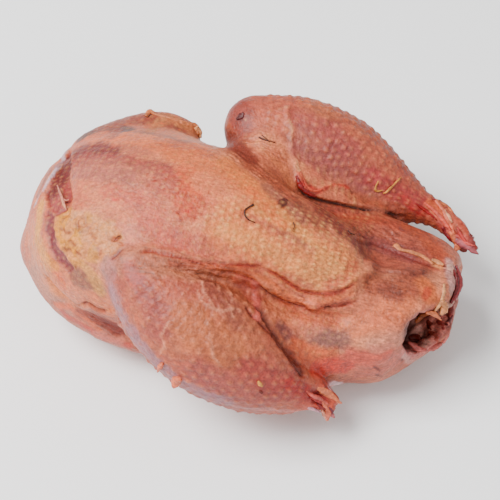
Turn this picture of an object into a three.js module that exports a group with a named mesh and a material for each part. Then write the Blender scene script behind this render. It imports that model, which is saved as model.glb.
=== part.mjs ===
// A whole plucked and dressed pheasant, lying on its back with the breast up.
// Millimetres, +Z up. +X runs along the body to the open vent, -Y is the side shown in front.
// The bird is one closed solid: rounded forms are blended into one field of distances,
// folds are pressed into it, the belly hollow is taken out, and the skin is meshed from it.
import * as THREE from 'three';

// Resolution of the skin: the grid it is found on, and the number of faces it is thinned to.
const GRID = 2.5;
const FACES = 11600;
const REACH = { low: [-108, -84, -6], high: [110, 92, 98] };

// Blending of two distances over a width k, and the opposite for cuts.
function blend(a, b, k) {
  const h = Math.max(k - Math.abs(a - b), 0) / k;
  return Math.min(a, b) - h * h * k * 0.25;
}

function carve(a, b, k) {
  return -blend(-a, -b, k);
}

// Coordinates of a point as seen from a form at c, turned by yaw and then by pitch (degrees).
function local(p, c, yaw, pitch) {
  const cy = Math.cos(yaw * Math.PI / 180);
  const sy = Math.sin(yaw * Math.PI / 180);
  const cp = Math.cos(pitch * Math.PI / 180);
  const sp = Math.sin(pitch * Math.PI / 180);
  const dx = p[0] - c[0];
  const dy = p[1] - c[1];
  const dz = p[2] - c[2];
  const x = dx * cy + dy * sy;
  const y = -dx * sy + dy * cy;
  return [x * cp + dz * sp, y, -x * sp + dz * cp];
}

function ellipsoid(p, c, r, yaw = 0, pitch = 0) {
  const q = local(p, c, yaw, pitch);
  const a = Math.hypot(q[0] / r[0], q[1] / r[1], q[2] / r[2]);
  const b = Math.hypot(q[0] / r[0] ** 2, q[1] / r[1] ** 2, q[2] / r[2] ** 2);
  return b > 1e-9 ? a * (a - 1) / b : -Math.min(...r);
}

// An ellipsoid with fuller corners: n = 2 is the plain one.
function fullEllipsoid(p, c, r, n, yaw = 0, pitch = 0) {
  const q = local(p, c, yaw, pitch).map((v, i) => Math.abs(v / r[i]) + 1e-6);
  const a = (q[0] ** n + q[1] ** n + q[2] ** n) ** (1 / n);
  const g = Math.hypot(...q.map((v, i) => (v / a) ** (n - 1) / r[i]));
  return (a - 1) / Math.max(g, 1e-6);
}

// The hull of two balls.
function coneForm(a, b) {
  const ba = [b[0] - a[0], b[1] - a[1], b[2] - a[2]];
  const l2 = ba[0] ** 2 + ba[1] ** 2 + ba[2] ** 2;
  const rr = a[3] - b[3];
  return { a, ba, l2, rr, a2: l2 - rr * rr, ra: a[3], rb: b[3] };
}

function coneDistance(p, f) {
  const px = p[0] - f.a[0];
  const py = p[1] - f.a[1];
  const pz = p[2] - f.a[2];
  const y = px * f.ba[0] + py * f.ba[1] + pz * f.ba[2];
  const z = y - f.l2;
  const ux = px * f.l2 - f.ba[0] * y;
  const uy = py * f.l2 - f.ba[1] * y;
  const uz = pz * f.l2 - f.ba[2] * y;
  const x2 = ux * ux + uy * uy + uz * uz;
  const y2 = y * y * f.l2;
  const z2 = z * z * f.l2;
  const k = Math.sign(f.rr) * f.rr * f.rr * x2;
  if (Math.sign(z) * f.a2 * z2 > k) return Math.sqrt(x2 + z2) / f.l2 - f.rb;
  if (Math.sign(y) * f.a2 * y2 < k) return Math.sqrt(x2 + y2) / f.l2 - f.ra;
  return (Math.sqrt(x2 * f.a2 / f.l2) + y * f.rr) / f.l2 - f.ra;
}

// A limb: a smooth line through its stations [x, y, z, radius], as a chain of such hulls.
function limb(stations, steps = 3) {
  const first = stations[0].map((v, i) => 2 * v - stations[1][i]);
  const last = stations.at(-1).map((v, i) => 2 * v - stations.at(-2)[i]);
  const s = [first, ...stations, last];
  const line = [];
  for (let i = 1; i < s.length - 2; i += 1) {
    for (let j = 0; j < steps; j += 1) {
      const t = j / steps;
      line.push(s[i].map((b, k) => {
        const a = s[i - 1][k];
        const c = s[i + 1][k];
        const d = s[i + 2][k];
        return 0.5 * (2 * b + (c - a) * t + (2 * a - 5 * b + 4 * c - d) * t * t
          + (3 * b - a - 3 * c + d) * t ** 3);
      }));
    }
  }
  line.push(stations.at(-1));
  return line.slice(1).map((end, i) => coneForm(line[i], end));
}

function limbDistance(p, forms) {
  let d = Infinity;
  for (const f of forms) d = Math.min(d, coneDistance(p, f));
  return d;
}

// A fold (height above the skin) or a crease (height below it) along a broken line.
function fold(points, height, width) {
  const spans = points.slice(1).map((b, i) => {
    const a = points[i];
    const ba = [b[0] - a[0], b[1] - a[1], b[2] - a[2]];
    return { a, ba, l2: ba[0] ** 2 + ba[1] ** 2 + ba[2] ** 2 };
  });
  return { spans, height, width };
}

function foldHeight(p, f) {
  let best = Infinity;
  for (const { a, ba, l2 } of f.spans) {
    const q = [p[0] - a[0], p[1] - a[1], p[2] - a[2]];
    const t = Math.min(1, Math.max(0, (q[0] * ba[0] + q[1] * ba[1] + q[2] * ba[2]) / l2));
    const d = (q[0] - t * ba[0]) ** 2 + (q[1] - t * ba[1]) ** 2 + (q[2] - t * ba[2]) ** 2;
    best = Math.min(best, d);
  }
  return f.height * Math.exp(-best / f.width ** 2);
}

// Keel of the breastbone, from the neck end to the tip of the breast.
const KEEL = limb([[-84, 0, 49, 4], [-62, 0, 73, 4], [-30, 0, 78, 4], [0, 0, 73, 4], [40, 0, 56, 4]]);

// Legs, cut off at the hock: knee, thick calf, shank and ragged end.
const NEAR_DRUM = limb([[-37, -36, 66, 12], [-25, -40, 56, 20], [-7, -44, 46, 24.5],
  [12, -47, 36, 21], [29, -48, 28, 13], [39, -48, 23, 7], [47, -49.5, 19, 4]]);
const NEAR_THIGH = limb([[-30, -33, 56, 13], [27, -28, 27, 22]], 1);
const FAR_DRUM = limb([[-9, 57, 65, 14], [10, 59, 59, 19], [30, 58, 51, 20], [50, 53, 44, 14],
  [63, 50, 41, 8.5], [73, 48, 39, 5.7], [84, 43, 37, 4.4], [94, 36, 34, 1.8]]);
const FAR_THIGH = limb([[-2, 44, 60, 15], [40, 30, 33, 21]], 1);

// Wing stumps, cut off short and lying back against the ribs. The skin is tight over the far
// shoulder, which fills the space between stump and breast.
const NEAR_WING = limb([[-85, -6, 34, 14], [-73, -20, 27, 12], [-56, -28, 22, 10], [-40, -33, 19, 7]]);
const FAR_WING = limb([[-73, 36, 50, 14], [-61, 48, 55, 10.5], [-50, 53, 58, 8], [-40, 54, 57, 5.5]]);
const FAR_SHOULDER = { centre: [-55, 34, 53], radii: [29, 18, 16], yaw: 8, pitch: 4 };

// The rounded flesh of the neck end, in front of the breast.
const NECK_END = { centre: [-73, 13, 50], radii: [19, 19, 18] };

// The hollow of the belly and the torn opening that leads into it at the vent.
const VENT = [
  limb([[97.5, 2.4, 34, 9.5], [77.5, 0.4, 31, 10], [58, -2, 31, 14]]),
  limb([[97.5, 11.4, 33, 9.5], [77.5, 8.4, 31, 10], [58, 4, 31, 14]]),
];
const NOTCH = limb([[73.5, -3.6, 26, 9], [80.5, -18.6, 38, 9], [87.5, -32.6, 52, 12]]);

const FOLDS = [
  fold([[-50, -38, 70], [-38, -36, 77], [-22, -33, 76], [-2, -30, 71], [18, -27, 61],
    [37, -25, 53], [47, -22, 51], [56, -14, 51], [68, 0, 51]], 1.6, 3.2),
  fold([[34, -25, 54], [41, -20, 56], [48, -15, 57], [53, -6, 57], [56, 6, 57]], 1.4, 3.0),
];
const CREASES = [
  fold([[-44, -41, 70], [-34, -39, 73], [-20, -36, 72], [0, -33, 67], [10, -35, 61], [15, -38, 59],
    [22, -42, 53], [29, -46, 46], [36, -46, 37], [43, -41, 26]], 2.0, 3.4),
  fold([[8, -31, 64], [20, -29, 57], [34, -28, 50], [46, -26, 48]], 1.4, 3.2),
  fold([[17, 22, 64], [21, 20, 62], [31, 24, 57], [39, 27, 54], [47, 31, 52], [60, 38, 42]], 1.4, 3.6),
  fold([[-90, 39, 50], [-86, 18, 62], [-77, 2, 73], [-73, -12, 74], [-73, -16, 72]], 1.2, 3.0),
  fold([[-73, -16, 72], [-79, -20, 68], [-80, -27, 64], [-74, -34, 61], [-66, -38, 60]], 1.4, 2.8),
  fold([[-78, -30, 44], [-66, -38, 37], [-54, -40, 33], [-42, -42, 27]], 2.0, 3.0),
];

// Where the belly sinks in beyond the breast, and the skin between breast and far thigh.
const DENTS = [
  fold([[53, 8, 52], [64, 13, 53], [78, 12, 50]], 3.6, 10.0),
  fold([[14, 24, 66], [28, 24, 59], [46, 28, 55]], 2.2, 7.0),
];

// The vent end is blunt, and its near corner is drawn in, below and at its side.
const VENT_CUTS = [
  { normal: [0.634, -0.535, -0.557], offset: 50.1 },
  { normal: [0.8, -0.6, 0], offset: 73.3 },
  { normal: [1, 0, 0], offset: 90.5 },
];

function torso(p) {
  const ribs = ellipsoid(p, [-48, 3, 40], [49, 40, 36]);
  let loin = fullEllipsoid(p, [42, 0.5, 28], [57, 38, 26], 2.5, 5, 3);
  for (const { normal, offset } of VENT_CUTS) {
    loin = carve(loin, p[0] * normal[0] + p[1] * normal[1] + p[2] * normal[2] - offset, 4);
  }
  const back = fullEllipsoid(p, [-10, 1, 14], [72, 30, 19], 2.6);
  const body = blend(blend(ribs, loin, 22), back, 10);
  const m = [p[0], Math.hypot(p[1], 5), p[2]];
  const lobe = ellipsoid(m, [-38, 19, 53], [46, 24, 29]);
  const tip = ellipsoid(m, [8, 10, 50], [44, 19, 24], -6, -17);
  const breast = blend(blend(lobe, tip, 16), limbDistance(p, KEEL), 24);
  return blend(body, breast, 11);
}

function hollow(p) {
  const room = ellipsoid(p, [28, 0, 33], [58, 22, 18]);
  const vent = blend(limbDistance(p, VENT[0]), limbDistance(p, VENT[1]), 6);
  return blend(blend(vent, limbDistance(p, NOTCH), 14), room, 8);
}

function field(p) {
  let d = torso(p);
  const web = ellipsoid(p, [4, 30, 56], [26, 17, 13], 12, -14);
  d = blend(d, web, 10);
  const { centre, radii, yaw, pitch } = FAR_SHOULDER;
  d = blend(d, ellipsoid(p, centre, radii, yaw, pitch), 12);
  d = blend(d, ellipsoid(p, NECK_END.centre, NECK_END.radii), 12);
  d = blend(d, limbDistance(p, NEAR_WING), 8);
  d = blend(d, limbDistance(p, FAR_WING), 8);
  d = blend(d, limbDistance(p, NEAR_THIGH), 9);
  d = blend(d, limbDistance(p, NEAR_DRUM), 5);
  d = blend(d, limbDistance(p, FAR_THIGH), 9);
  d = blend(d, limbDistance(p, FAR_DRUM), 5);
  if (Math.abs(d) < 14) {
    for (const f of FOLDS) d -= foldHeight(p, f);
    for (const f of [...CREASES, ...DENTS]) d += foldHeight(p, f);
  }
  d = carve(d, -hollow(p), 4);
  return carve(d, -p[2], 4);
}

// Values of the field at the corners of a grid of cubes.
function sampled(step) {
  const n = REACH.low.map((low, i) => Math.ceil((REACH.high[i] - low) / step) + 1);
  const at = (i, j, k) => (k * n[1] + j) * n[0] + i;
  const values = new Float64Array(n[0] * n[1] * n[2]);
  for (let k = 0; k < n[2]; k += 1) {
    for (let j = 0; j < n[1]; j += 1) {
      for (let i = 0; i < n[0]; i += 1) {
        const p = [REACH.low[0] + i * step, REACH.low[1] + j * step, REACH.low[2] + k * step];
        values[at(i, j, k)] = field(p);
      }
    }
  }
  return { n, at, values, step };
}

function gradient(p, e = 0.3) {
  const g = [0, 1, 2].map((i) => {
    const a = [...p];
    const b = [...p];
    a[i] += e;
    b[i] -= e;
    return (field(a) - field(b)) / (2 * e);
  });
  return g;
}

// Moves a point onto the skin along the slope of the field.
function settled(p, limit) {
  const q = [...p];
  for (let turn = 0; turn < 4; turn += 1) {
    const d = field(q);
    const g = gradient(q);
    const l2 = Math.max(g[0] ** 2 + g[1] ** 2 + g[2] ** 2, 0.05);
    for (let i = 0; i < 3; i += 1) q[i] -= d * g[i] / l2;
  }
  const moved = Math.hypot(q[0] - p[0], q[1] - p[1], q[2] - p[2]);
  return moved < limit ? q : p;
}

function faceNormal(a, b, c) {
  const u = [b[0] - a[0], b[1] - a[1], b[2] - a[2]];
  const v = [c[0] - a[0], c[1] - a[1], c[2] - a[2]];
  return [u[1] * v[2] - u[2] * v[1], u[2] * v[0] - u[0] * v[2], u[0] * v[1] - u[1] * v[0]];
}

// The six tetrahedra of a cube, as corner numbers whose bits are x, y and z.
const TETRAHEDRA = [[1, 3], [1, 5], [2, 3], [2, 6], [4, 5], [4, 6]].map(([a, b]) => [0, a, b, 7]);

// The skin: each tetrahedron that it passes through gives one or two faces.
function skin(grid) {
  const { n, at, values, step } = grid;
  const known = new Map();
  const points = [];
  const straight = [];
  const faces = [];
  const corner = (base, c) => [base[0] + (c & 1), base[1] + ((c >> 1) & 1), base[2] + ((c >> 2) & 1)];
  const place = (c) => c.map((v, i) => REACH.low[i] + v * step);
  const crossing = (a, b) => {
    const ia = at(...a);
    const ib = at(...b);
    const key = ia < ib ? ia * values.length + ib : ib * values.length + ia;
    if (!known.has(key)) {
      const t = Math.min(0.96, Math.max(0.04, values[ia] / (values[ia] - values[ib])));
      const p = place(a);
      const q = place(b);
      known.set(key, points.length);
      straight.push(p.map((v, i) => v + t * (q[i] - v)));
      points.push(settled(straight.at(-1), step * 0.3));
    }
    return known.get(key);
  };
  const add = (ids, from, to) => {
    const m = faceNormal(...ids.map((id) => straight[id]));
    const along = m[0] * (to[0] - from[0]) + m[1] * (to[1] - from[1]) + m[2] * (to[2] - from[2]);
    faces.push(along >= 0 ? ids : [ids[0], ids[2], ids[1]]);
  };
  for (let k = 0; k < n[2] - 1; k += 1) {
    for (let j = 0; j < n[1] - 1; j += 1) {
      for (let i = 0; i < n[0] - 1; i += 1) {
        const base = [i, j, k];
        const signs = [0, 1, 2, 3, 4, 5, 6, 7].map((c) => values[at(...corner(base, c))] < 0);
        if (signs.every((s) => s === signs[0])) continue;
        for (const tetrahedron of TETRAHEDRA) {
          const inner = tetrahedron.filter((c) => signs[c]).map((c) => corner(base, c));
          const outer = tetrahedron.filter((c) => !signs[c]).map((c) => corner(base, c));
          if (!inner.length || !outer.length) continue;
          if (inner.length === 2) {
            const ring = [crossing(inner[0], outer[0]), crossing(inner[0], outer[1]),
              crossing(inner[1], outer[1]), crossing(inner[1], outer[0])];
            add([ring[0], ring[1], ring[2]], inner[0], outer[0]);
            add([ring[0], ring[2], ring[3]], inner[0], outer[0]);
          } else {
            const ids = inner.flatMap((a) => outer.map((b) => crossing(a, b)));
            add(ids, inner[0], outer[0]);
          }
        }
      }
    }
  }
  return { points, faces };
}

// Error of a point against the planes summed in a quadric of ten numbers.
function planeError(q, x, y, z) {
  return q[0] * x * x + 2 * q[1] * x * y + 2 * q[2] * x * z + 2 * q[3] * x
    + q[4] * y * y + 2 * q[5] * y * z + 2 * q[6] * y + q[7] * z * z + 2 * q[8] * z + q[9];
}

function bestPoint(q, a, b) {
  const middle = [(a[0] + b[0]) / 2, (a[1] + b[1]) / 2, (a[2] + b[2]) / 2];
  const options = [middle, a, b];
  const m = new THREE.Matrix3(q[0], q[1], q[2], q[1], q[4], q[5], q[2], q[5], q[7]);
  m.set(q[0], q[1], q[2], q[1], q[4], q[5], q[2], q[5], q[7]);
  const size = q[0] + q[4] + q[7];
  if (Math.abs(m.determinant()) > 1e-4 * size ** 3) {
    const s = new THREE.Vector3(-q[3], -q[6], -q[8]).applyMatrix3(m.invert());
    const away = Math.hypot(s.x - middle[0], s.y - middle[1], s.z - middle[2]);
    if (away < Math.hypot(a[0] - b[0], a[1] - b[1], a[2] - b[2])) options.push([s.x, s.y, s.z]);
  }
  let best = null;
  for (const p of options) {
    const cost = planeError(q, p[0], p[1], p[2]);
    if (!best || cost < best.cost - 1e-9) best = { p, cost };
  }
  return best;
}

// A small heap ordered by cost.
function pushed(heap, item) {
  let i = heap.length;
  heap.push(item);
  while (i > 0) {
    const up = (i - 1) >> 1;
    if (heap[up].cost <= item.cost) break;
    heap[i] = heap[up];
    i = up;
  }
  heap[i] = item;
}

function popped(heap) {
  const top = heap[0];
  const item = heap.pop();
  if (!heap.length) return top;
  let i = 0;
  for (;;) {
    let c = 2 * i + 1;
    if (c >= heap.length) break;
    if (c + 1 < heap.length && heap[c + 1].cost < heap[c].cost) c += 1;
    if (heap[c].cost >= item.cost) break;
    heap[i] = heap[c];
    i = c;
  }
  heap[i] = item;
  return top;
}

// Thins the mesh: the edges whose loss changes the skin least are closed up first.
function thinned(mesh, target) {
  const points = mesh.points.map((p) => [...p]);
  const faces = mesh.faces.map((f) => [...f]);
  const around = points.map(() => new Set());
  const quadrics = points.map(() => new Float64Array(10));
  const stamp = new Int32Array(points.length);
  faces.forEach((f, id) => {
    const n = faceNormal(points[f[0]], points[f[1]], points[f[2]]);
    const l = Math.hypot(...n) || 1;
    const [a, b, c] = n.map((v) => v / l);
    const d = -(a * points[f[0]][0] + b * points[f[0]][1] + c * points[f[0]][2]);
    const q = [a * a, a * b, a * c, a * d, b * b, b * c, b * d, c * c, c * d, d * d];
    for (const v of f) {
      around[v].add(id);
      q.forEach((value, i) => { quadrics[v][i] += value * l; });
    }
  });
  const heap = [];
  const offer = (u, v) => {
    const q = quadrics[u].map((value, i) => value + quadrics[v][i]);
    const { p, cost } = bestPoint(q, points[u], points[v]);
    const length = Math.hypot(points[u][0] - points[v][0], points[u][1] - points[v][1],
      points[u][2] - points[v][2]);
    pushed(heap, { cost: cost + 1e-3 * length * length, u, v, p, su: stamp[u], sv: stamp[v] });
  };
  const neighbours = (v) => {
    const out = new Set();
    for (const id of around[v]) for (const w of faces[id]) if (w !== v) out.add(w);
    return out;
  };
  const turnsOver = (v, other, p) => {
    for (const id of around[v]) {
      const f = faces[id];
      if (f.includes(other)) continue;
      const before = faceNormal(...f.map((w) => points[w]));
      const after = faceNormal(...f.map((w) => (w === v ? p : points[w])));
      const dot = before[0] * after[0] + before[1] * after[1] + before[2] * after[2];
      const sizes = Math.hypot(...before) * Math.hypot(...after);
      if (dot < 0.5 * sizes || Math.hypot(...after) < 0.15) return true;
    }
    return false;
  };
  faces.forEach((f) => {
    for (let i = 0; i < 3; i += 1) if (f[i] < f[(i + 1) % 3]) offer(f[i], f[(i + 1) % 3]);
  });
  let left = faces.length;
  while (left > target && heap.length) {
    const { u, v, p, su, sv } = popped(heap);
    if (stamp[u] !== su || stamp[v] !== sv) continue;
    const nu = neighbours(u);
    const shared = [...neighbours(v)].filter((w) => nu.has(w));
    if (shared.length !== 2 || turnsOver(u, v, p) || turnsOver(v, u, p)) continue;
    points[u] = p;
    quadrics[v].forEach((value, i) => { quadrics[u][i] += value; });
    for (const id of around[v]) {
      const f = faces[id];
      if (f.includes(u)) {
        for (const w of f) if (w !== v) around[w].delete(id);
        faces[id] = null;
        left -= 1;
      } else {
        f[f.indexOf(v)] = u;
        around[u].add(id);
      }
    }
    around[v] = new Set();
    stamp[v] = -1;
    stamp[u] += 1;
    for (const w of neighbours(u)) offer(u, w);
  }
  return { points, faces: faces.filter(Boolean) };
}

// Brings the mesh to the shared frame: centred over the origin, the resting face on z = 0.
function placed(mesh) {
  const used = new Map();
  const points = [];
  const faces = mesh.faces.map((f) => f.map((v) => {
    if (!used.has(v)) {
      used.set(v, points.length);
      points.push([...mesh.points[v]]);
    }
    return used.get(v);
  }));
  for (const p of points) if (p[2] < 0.12) p[2] = 0;
  const centre = [0, 1].map((i) => {
    const all = points.map((p) => p[i]);
    return (Math.min(...all) + Math.max(...all)) / 2;
  });
  for (const p of points) {
    p[0] -= centre[0];
    p[1] -= centre[1];
  }
  return { points, faces };
}

function meshed() {
  const { points, faces } = placed(thinned(skin(sampled(GRID)), FACES));
  const geometry = new THREE.BufferGeometry();
  geometry.setAttribute('position', new THREE.Float32BufferAttribute(points.flat(), 3));
  geometry.setIndex(faces.flat());
  geometry.computeVertexNormals();
  const flesh = new THREE.MeshStandardMaterial({ color: 0xc98f72, roughness: 0.5, metalness: 0 });
  flesh.name = 'raw_skin';
  const mesh = new THREE.Mesh(geometry, flesh);
  mesh.name = 'pheasant';
  return mesh;
}

const part = new THREE.Group();
part.name = 'whole_pheasant';
part.add(meshed());

export default part;
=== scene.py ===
"""A whole plucked and dressed pheasant, lying on its back on a pale floor, breast up.

The skin is meshed from the same rounded forms as the solid, only finer. Folds, torn edges and
goose bumps are pressed into it, and it is painted in code. Sizes here are in millimetres, in the
frame that the forms were drawn in; they are moved to the shared frame, in metres, at the end.
"""
import math

import bpy
import numpy as np
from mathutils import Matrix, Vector
from mathutils.bvhtree import BVHTree


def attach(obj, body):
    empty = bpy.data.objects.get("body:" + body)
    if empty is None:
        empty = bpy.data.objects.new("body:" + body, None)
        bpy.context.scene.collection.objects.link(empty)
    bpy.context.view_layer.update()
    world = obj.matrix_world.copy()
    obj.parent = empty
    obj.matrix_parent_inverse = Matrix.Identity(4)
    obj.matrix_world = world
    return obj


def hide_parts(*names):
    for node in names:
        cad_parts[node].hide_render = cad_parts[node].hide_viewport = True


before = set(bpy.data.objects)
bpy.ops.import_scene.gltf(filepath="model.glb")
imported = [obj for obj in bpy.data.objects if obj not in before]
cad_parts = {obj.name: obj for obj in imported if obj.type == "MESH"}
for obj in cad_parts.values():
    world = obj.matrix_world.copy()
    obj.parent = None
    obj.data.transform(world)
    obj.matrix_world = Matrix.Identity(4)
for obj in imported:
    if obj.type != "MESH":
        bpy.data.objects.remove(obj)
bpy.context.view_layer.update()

BODY = "root"
NODE = "pheasant"
MM = 0.001

# Where the drawn forms' origin lies in the shared frame, in mm.
SHIFT = np.array((1.862, -4.924, 0.0))

# The photograph's camera, from the forms: turned 13 degrees to the vent, 50 degrees up.
PHOTO_SIZE = 500
CAMERA_AZIMUTH = 13.0
CAMERA_ELEVATION = 50.0
CAMERA_LENS = 120.0
SENSOR = 36.0
CAMERA_DISTANCE = 715.0
CAMERA_AIM = np.array((0.5, 4.0, 45.0))

# The skin's grid, in mm, and the space that it is looked for in.
GRID = 0.75
COARSE = 4
BATCH = 400000
LOW = np.array((-104.0, -76.0, -4.0))
HIGH = np.array((104.0, 86.0, 92.0))
CUBE = [np.array((c & 1, (c >> 1) & 1, (c >> 2) & 1)) for c in range(8)]
FAR = 1e9


# Forms: distances to rounded shapes, for many points at once.

def blend(a, b, k):
    h = np.maximum(k - np.abs(a - b), 0) / k
    return np.minimum(a, b) - h * h * k * 0.25


def carve(a, b, k):
    return -blend(-a, -b, k)


def local(p, centre, yaw, pitch):
    q = p - np.array(centre, np.float32)
    cy, sy = math.cos(math.radians(yaw)), math.sin(math.radians(yaw))
    cp, sp = math.cos(math.radians(pitch)), math.sin(math.radians(pitch))
    x = q[:, 0] * cy + q[:, 1] * sy
    y = -q[:, 0] * sy + q[:, 1] * cy
    return np.stack([x * cp + q[:, 2] * sp, y, -x * sp + q[:, 2] * cp], 1)


def ellipsoid(p, centre, radii, yaw=0, pitch=0):
    q = local(p, centre, yaw, pitch)
    r = np.array(radii, np.float32)
    a = np.sqrt(((q / r) ** 2).sum(1))
    b = np.sqrt(((q / r ** 2) ** 2).sum(1))
    return np.where(b > 1e-9, a * (a - 1) / np.maximum(b, 1e-9), -r.min())


def full_ellipsoid(p, centre, radii, n, yaw=0, pitch=0):
    r = np.array(radii, np.float32)
    q = np.abs(local(p, centre, yaw, pitch) / r) + 1e-6
    a = (q ** n).sum(1) ** (1 / n)
    g = np.sqrt((((q / a[:, None]) ** (n - 1) / r) ** 2).sum(1))
    return (a - 1) / np.maximum(g, 1e-6)


def hull(p, a, b, ra, rb):
    """Distance to the hull of two balls."""
    ba = b - a
    l2 = float(ba @ ba)
    rr = float(ra - rb)
    a2 = l2 - rr * rr
    pa = p - a
    y = pa @ ba
    z = y - l2
    x2 = ((pa * l2 - ba * y[:, None]) ** 2).sum(1)
    y2 = y * y * l2
    z2 = z * z * l2
    k = np.sign(rr) * rr * rr * x2
    end = np.sqrt(x2 + z2) / l2 - rb
    start = np.sqrt(x2 + y2) / l2 - ra
    side = (np.sqrt(x2 * a2 / l2) + y * rr) / l2 - ra
    return np.where(np.sign(z) * a2 * z2 > k, end, np.where(np.sign(y) * a2 * y2 < k, start, side))


def smooth_line(stations, steps=3):
    """Points on a smooth line through the stations."""
    s = np.array(stations, np.float32)
    e = np.vstack([2 * s[0] - s[1], s, 2 * s[-1] - s[-2]])
    out = []
    for i in range(1, len(e) - 2):
        a, b, c, d = e[i - 1], e[i], e[i + 1], e[i + 2]
        for j in range(steps):
            t = j / steps
            out.append(0.5 * (2 * b + (c - a) * t + (2 * a - 5 * b + 4 * c - d) * t * t
                              + (3 * b - a - 3 * c + d) * t ** 3))
    out.append(s[-1])
    return np.array(out)


def limb(p, stations, steps=3):
    line = smooth_line(stations, steps)
    out = np.full(len(p), FAR, np.float32)
    for a, b in zip(line[:-1], line[1:]):
        out = np.minimum(out, hull(p, a[:3], b[:3], a[3], b[3]))
    return out


def nearest_on(p, line):
    """For each point: the way to it from the nearest place on a line, that place's span and part."""
    way = np.full(p.shape, FAR)
    span = np.zeros(len(p), int)
    part = np.zeros(len(p))
    best = np.full(len(p), FAR)
    for n, (a, b) in enumerate(zip(line[:-1], line[1:])):
        ba = b - a
        t = np.clip(((p - a) @ ba) / max(float(ba @ ba), 1e-6), 0, 1)
        away = p - a - t[:, None] * ba
        d = (away ** 2).sum(1)
        closer = d < best
        best = np.where(closer, d, best)
        way = np.where(closer[:, None], away, way)
        span = np.where(closer, n, span)
        part = np.where(closer, t, part)
    return way, span, part


def line_distance(p, line):
    """Distance to a broken line."""
    way = nearest_on(p, np.array(line, float))[0]
    return np.sqrt((way ** 2).sum(1))


def beside_line(p, out, line):
    """Distance across a broken line, under 0 on its left, and the part of the line passed, 0 to 1."""
    way, span, part = nearest_on(p, line)
    side = (way * np.cross(np.diff(line, axis=0)[span], out)).sum(1)
    return np.sign(side) * np.sqrt((way ** 2).sum(1)), (span + part) / (len(line) - 1)


def outline_distance(q, outline):
    """Distance to a closed outline in the plane, under 0 inside it."""
    best = line_distance(q, outline + outline[:1])
    inside = np.zeros(len(q), bool)
    for a, b in zip(outline, outline[1:] + outline[:1]):
        if a[1] != b[1]:
            level = a[0] + (q[:, 1] - a[1]) * (b[0] - a[0]) / (b[1] - a[1])
            inside ^= ((a[1] > q[:, 1]) != (b[1] > q[:, 1])) & (q[:, 0] < level)
    return np.where(inside, -1, 1) * best


def fold(p, line, height, width):
    return height * np.exp(-(line_distance(p, line) / width) ** 2)


# The bird's forms, as in the solid: stations are x, y, z and radius.

KEEL = ((-84, 0, 49, 4), (-62, 0, 73, 4), (-30, 0, 78, 4), (0, 0, 73, 4), (40, 0, 56, 4))
NEAR_DRUM = ((-37, -36, 66, 12), (-25, -40, 56, 20), (-7, -44, 46, 24.5), (12, -47, 36, 21),
             (29, -48, 28, 13), (39, -48, 23, 7), (47, -49.5, 19, 4))
NEAR_THIGH = ((-30, -33, 56, 13), (27, -28, 27, 22))
FAR_DRUM = ((-9, 57, 65, 14), (10, 59, 59, 19), (30, 58, 51, 20), (50, 53, 44, 14),
            (63, 50, 41, 8.5), (73, 48, 39, 5.7), (84, 43, 37, 4.4), (94, 36, 34, 1.8))
FAR_THIGH = ((-2, 44, 60, 15), (40, 30, 33, 21))
NEAR_WING = ((-85, -6, 34, 14), (-73, -20, 27, 12), (-56, -28, 22, 10), (-40, -33, 19, 7))
FAR_WING = ((-73, 36, 50, 14), (-61, 48, 55, 10.5), (-50, 53, 58, 8), (-40, 54, 57, 5.5))
FAR_SHOULDER = ((-55, 34, 53), (29, 18, 16), 8, 4)
NECK_END = ((-73, 13, 50), (19, 19, 18))
VENT = (((97.5, 2.4, 34, 9.5), (77.5, 0.4, 31, 10), (58, -2, 31, 14)),
        ((97.5, 11.4, 33, 9.5), (77.5, 8.4, 31, 10), (58, 4, 31, 14)))
NOTCH = ((73.5, -3.6, 26, 9), (80.5, -18.6, 38, 9), (87.5, -32.6, 52, 12))
VENT_CUTS = (((0.634, -0.535, -0.557), 50.1), ((0.8, -0.6, 0), 73.3), ((1, 0, 0), 90.5))
FAR_BREAST = ((4, 30, 56), (26, 17, 13), 12, -14)

# Folds, creases and dents in the skin, as in the solid: x, y and z.

BELLY_DENT = ((53, 8, 52), (64, 13, 53), (78, 12, 50))
WEB_DENT = ((14, 24, 66), (28, 24, 59), (46, 28, 55))
NEAR_FOLD = ((-50, -38, 70), (-38, -36, 77), (-22, -33, 76), (-2, -30, 71), (18, -27, 61),
             (37, -25, 53), (47, -22, 51), (56, -14, 51), (68, 0, 51))
TIP_FOLD = ((34, -25, 54), (41, -20, 56), (48, -15, 57), (53, -6, 57), (56, 6, 57))
NEAR_CREASE = ((-44, -41, 70), (-34, -39, 73), (-20, -36, 72), (0, -33, 67), (10, -35, 61),
               (15, -38, 59), (22, -42, 53), (29, -46, 46), (36, -46, 37), (43, -41, 26))
BELLY_CREASE = ((8, -31, 64), (20, -29, 57), (34, -28, 50), (46, -26, 48))
FAR_CREASE = ((17, 22, 64), (21, 20, 62), (31, 24, 57), (39, 27, 54), (47, 31, 52),
              (60, 38, 42))
NECK_TEAR = ((-90, 39, 50), (-86, 18, 62), (-77, 2, 73), (-73, -12, 74), (-73, -16, 72))
NECK_TEAR_LOW = ((-73, -16, 72), (-79, -20, 68), (-80, -27, 64), (-74, -34, 61), (-66, -38, 60))
WING_CREASE = ((-78, -30, 44), (-66, -38, 37), (-54, -40, 33), (-42, -42, 27))


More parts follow.
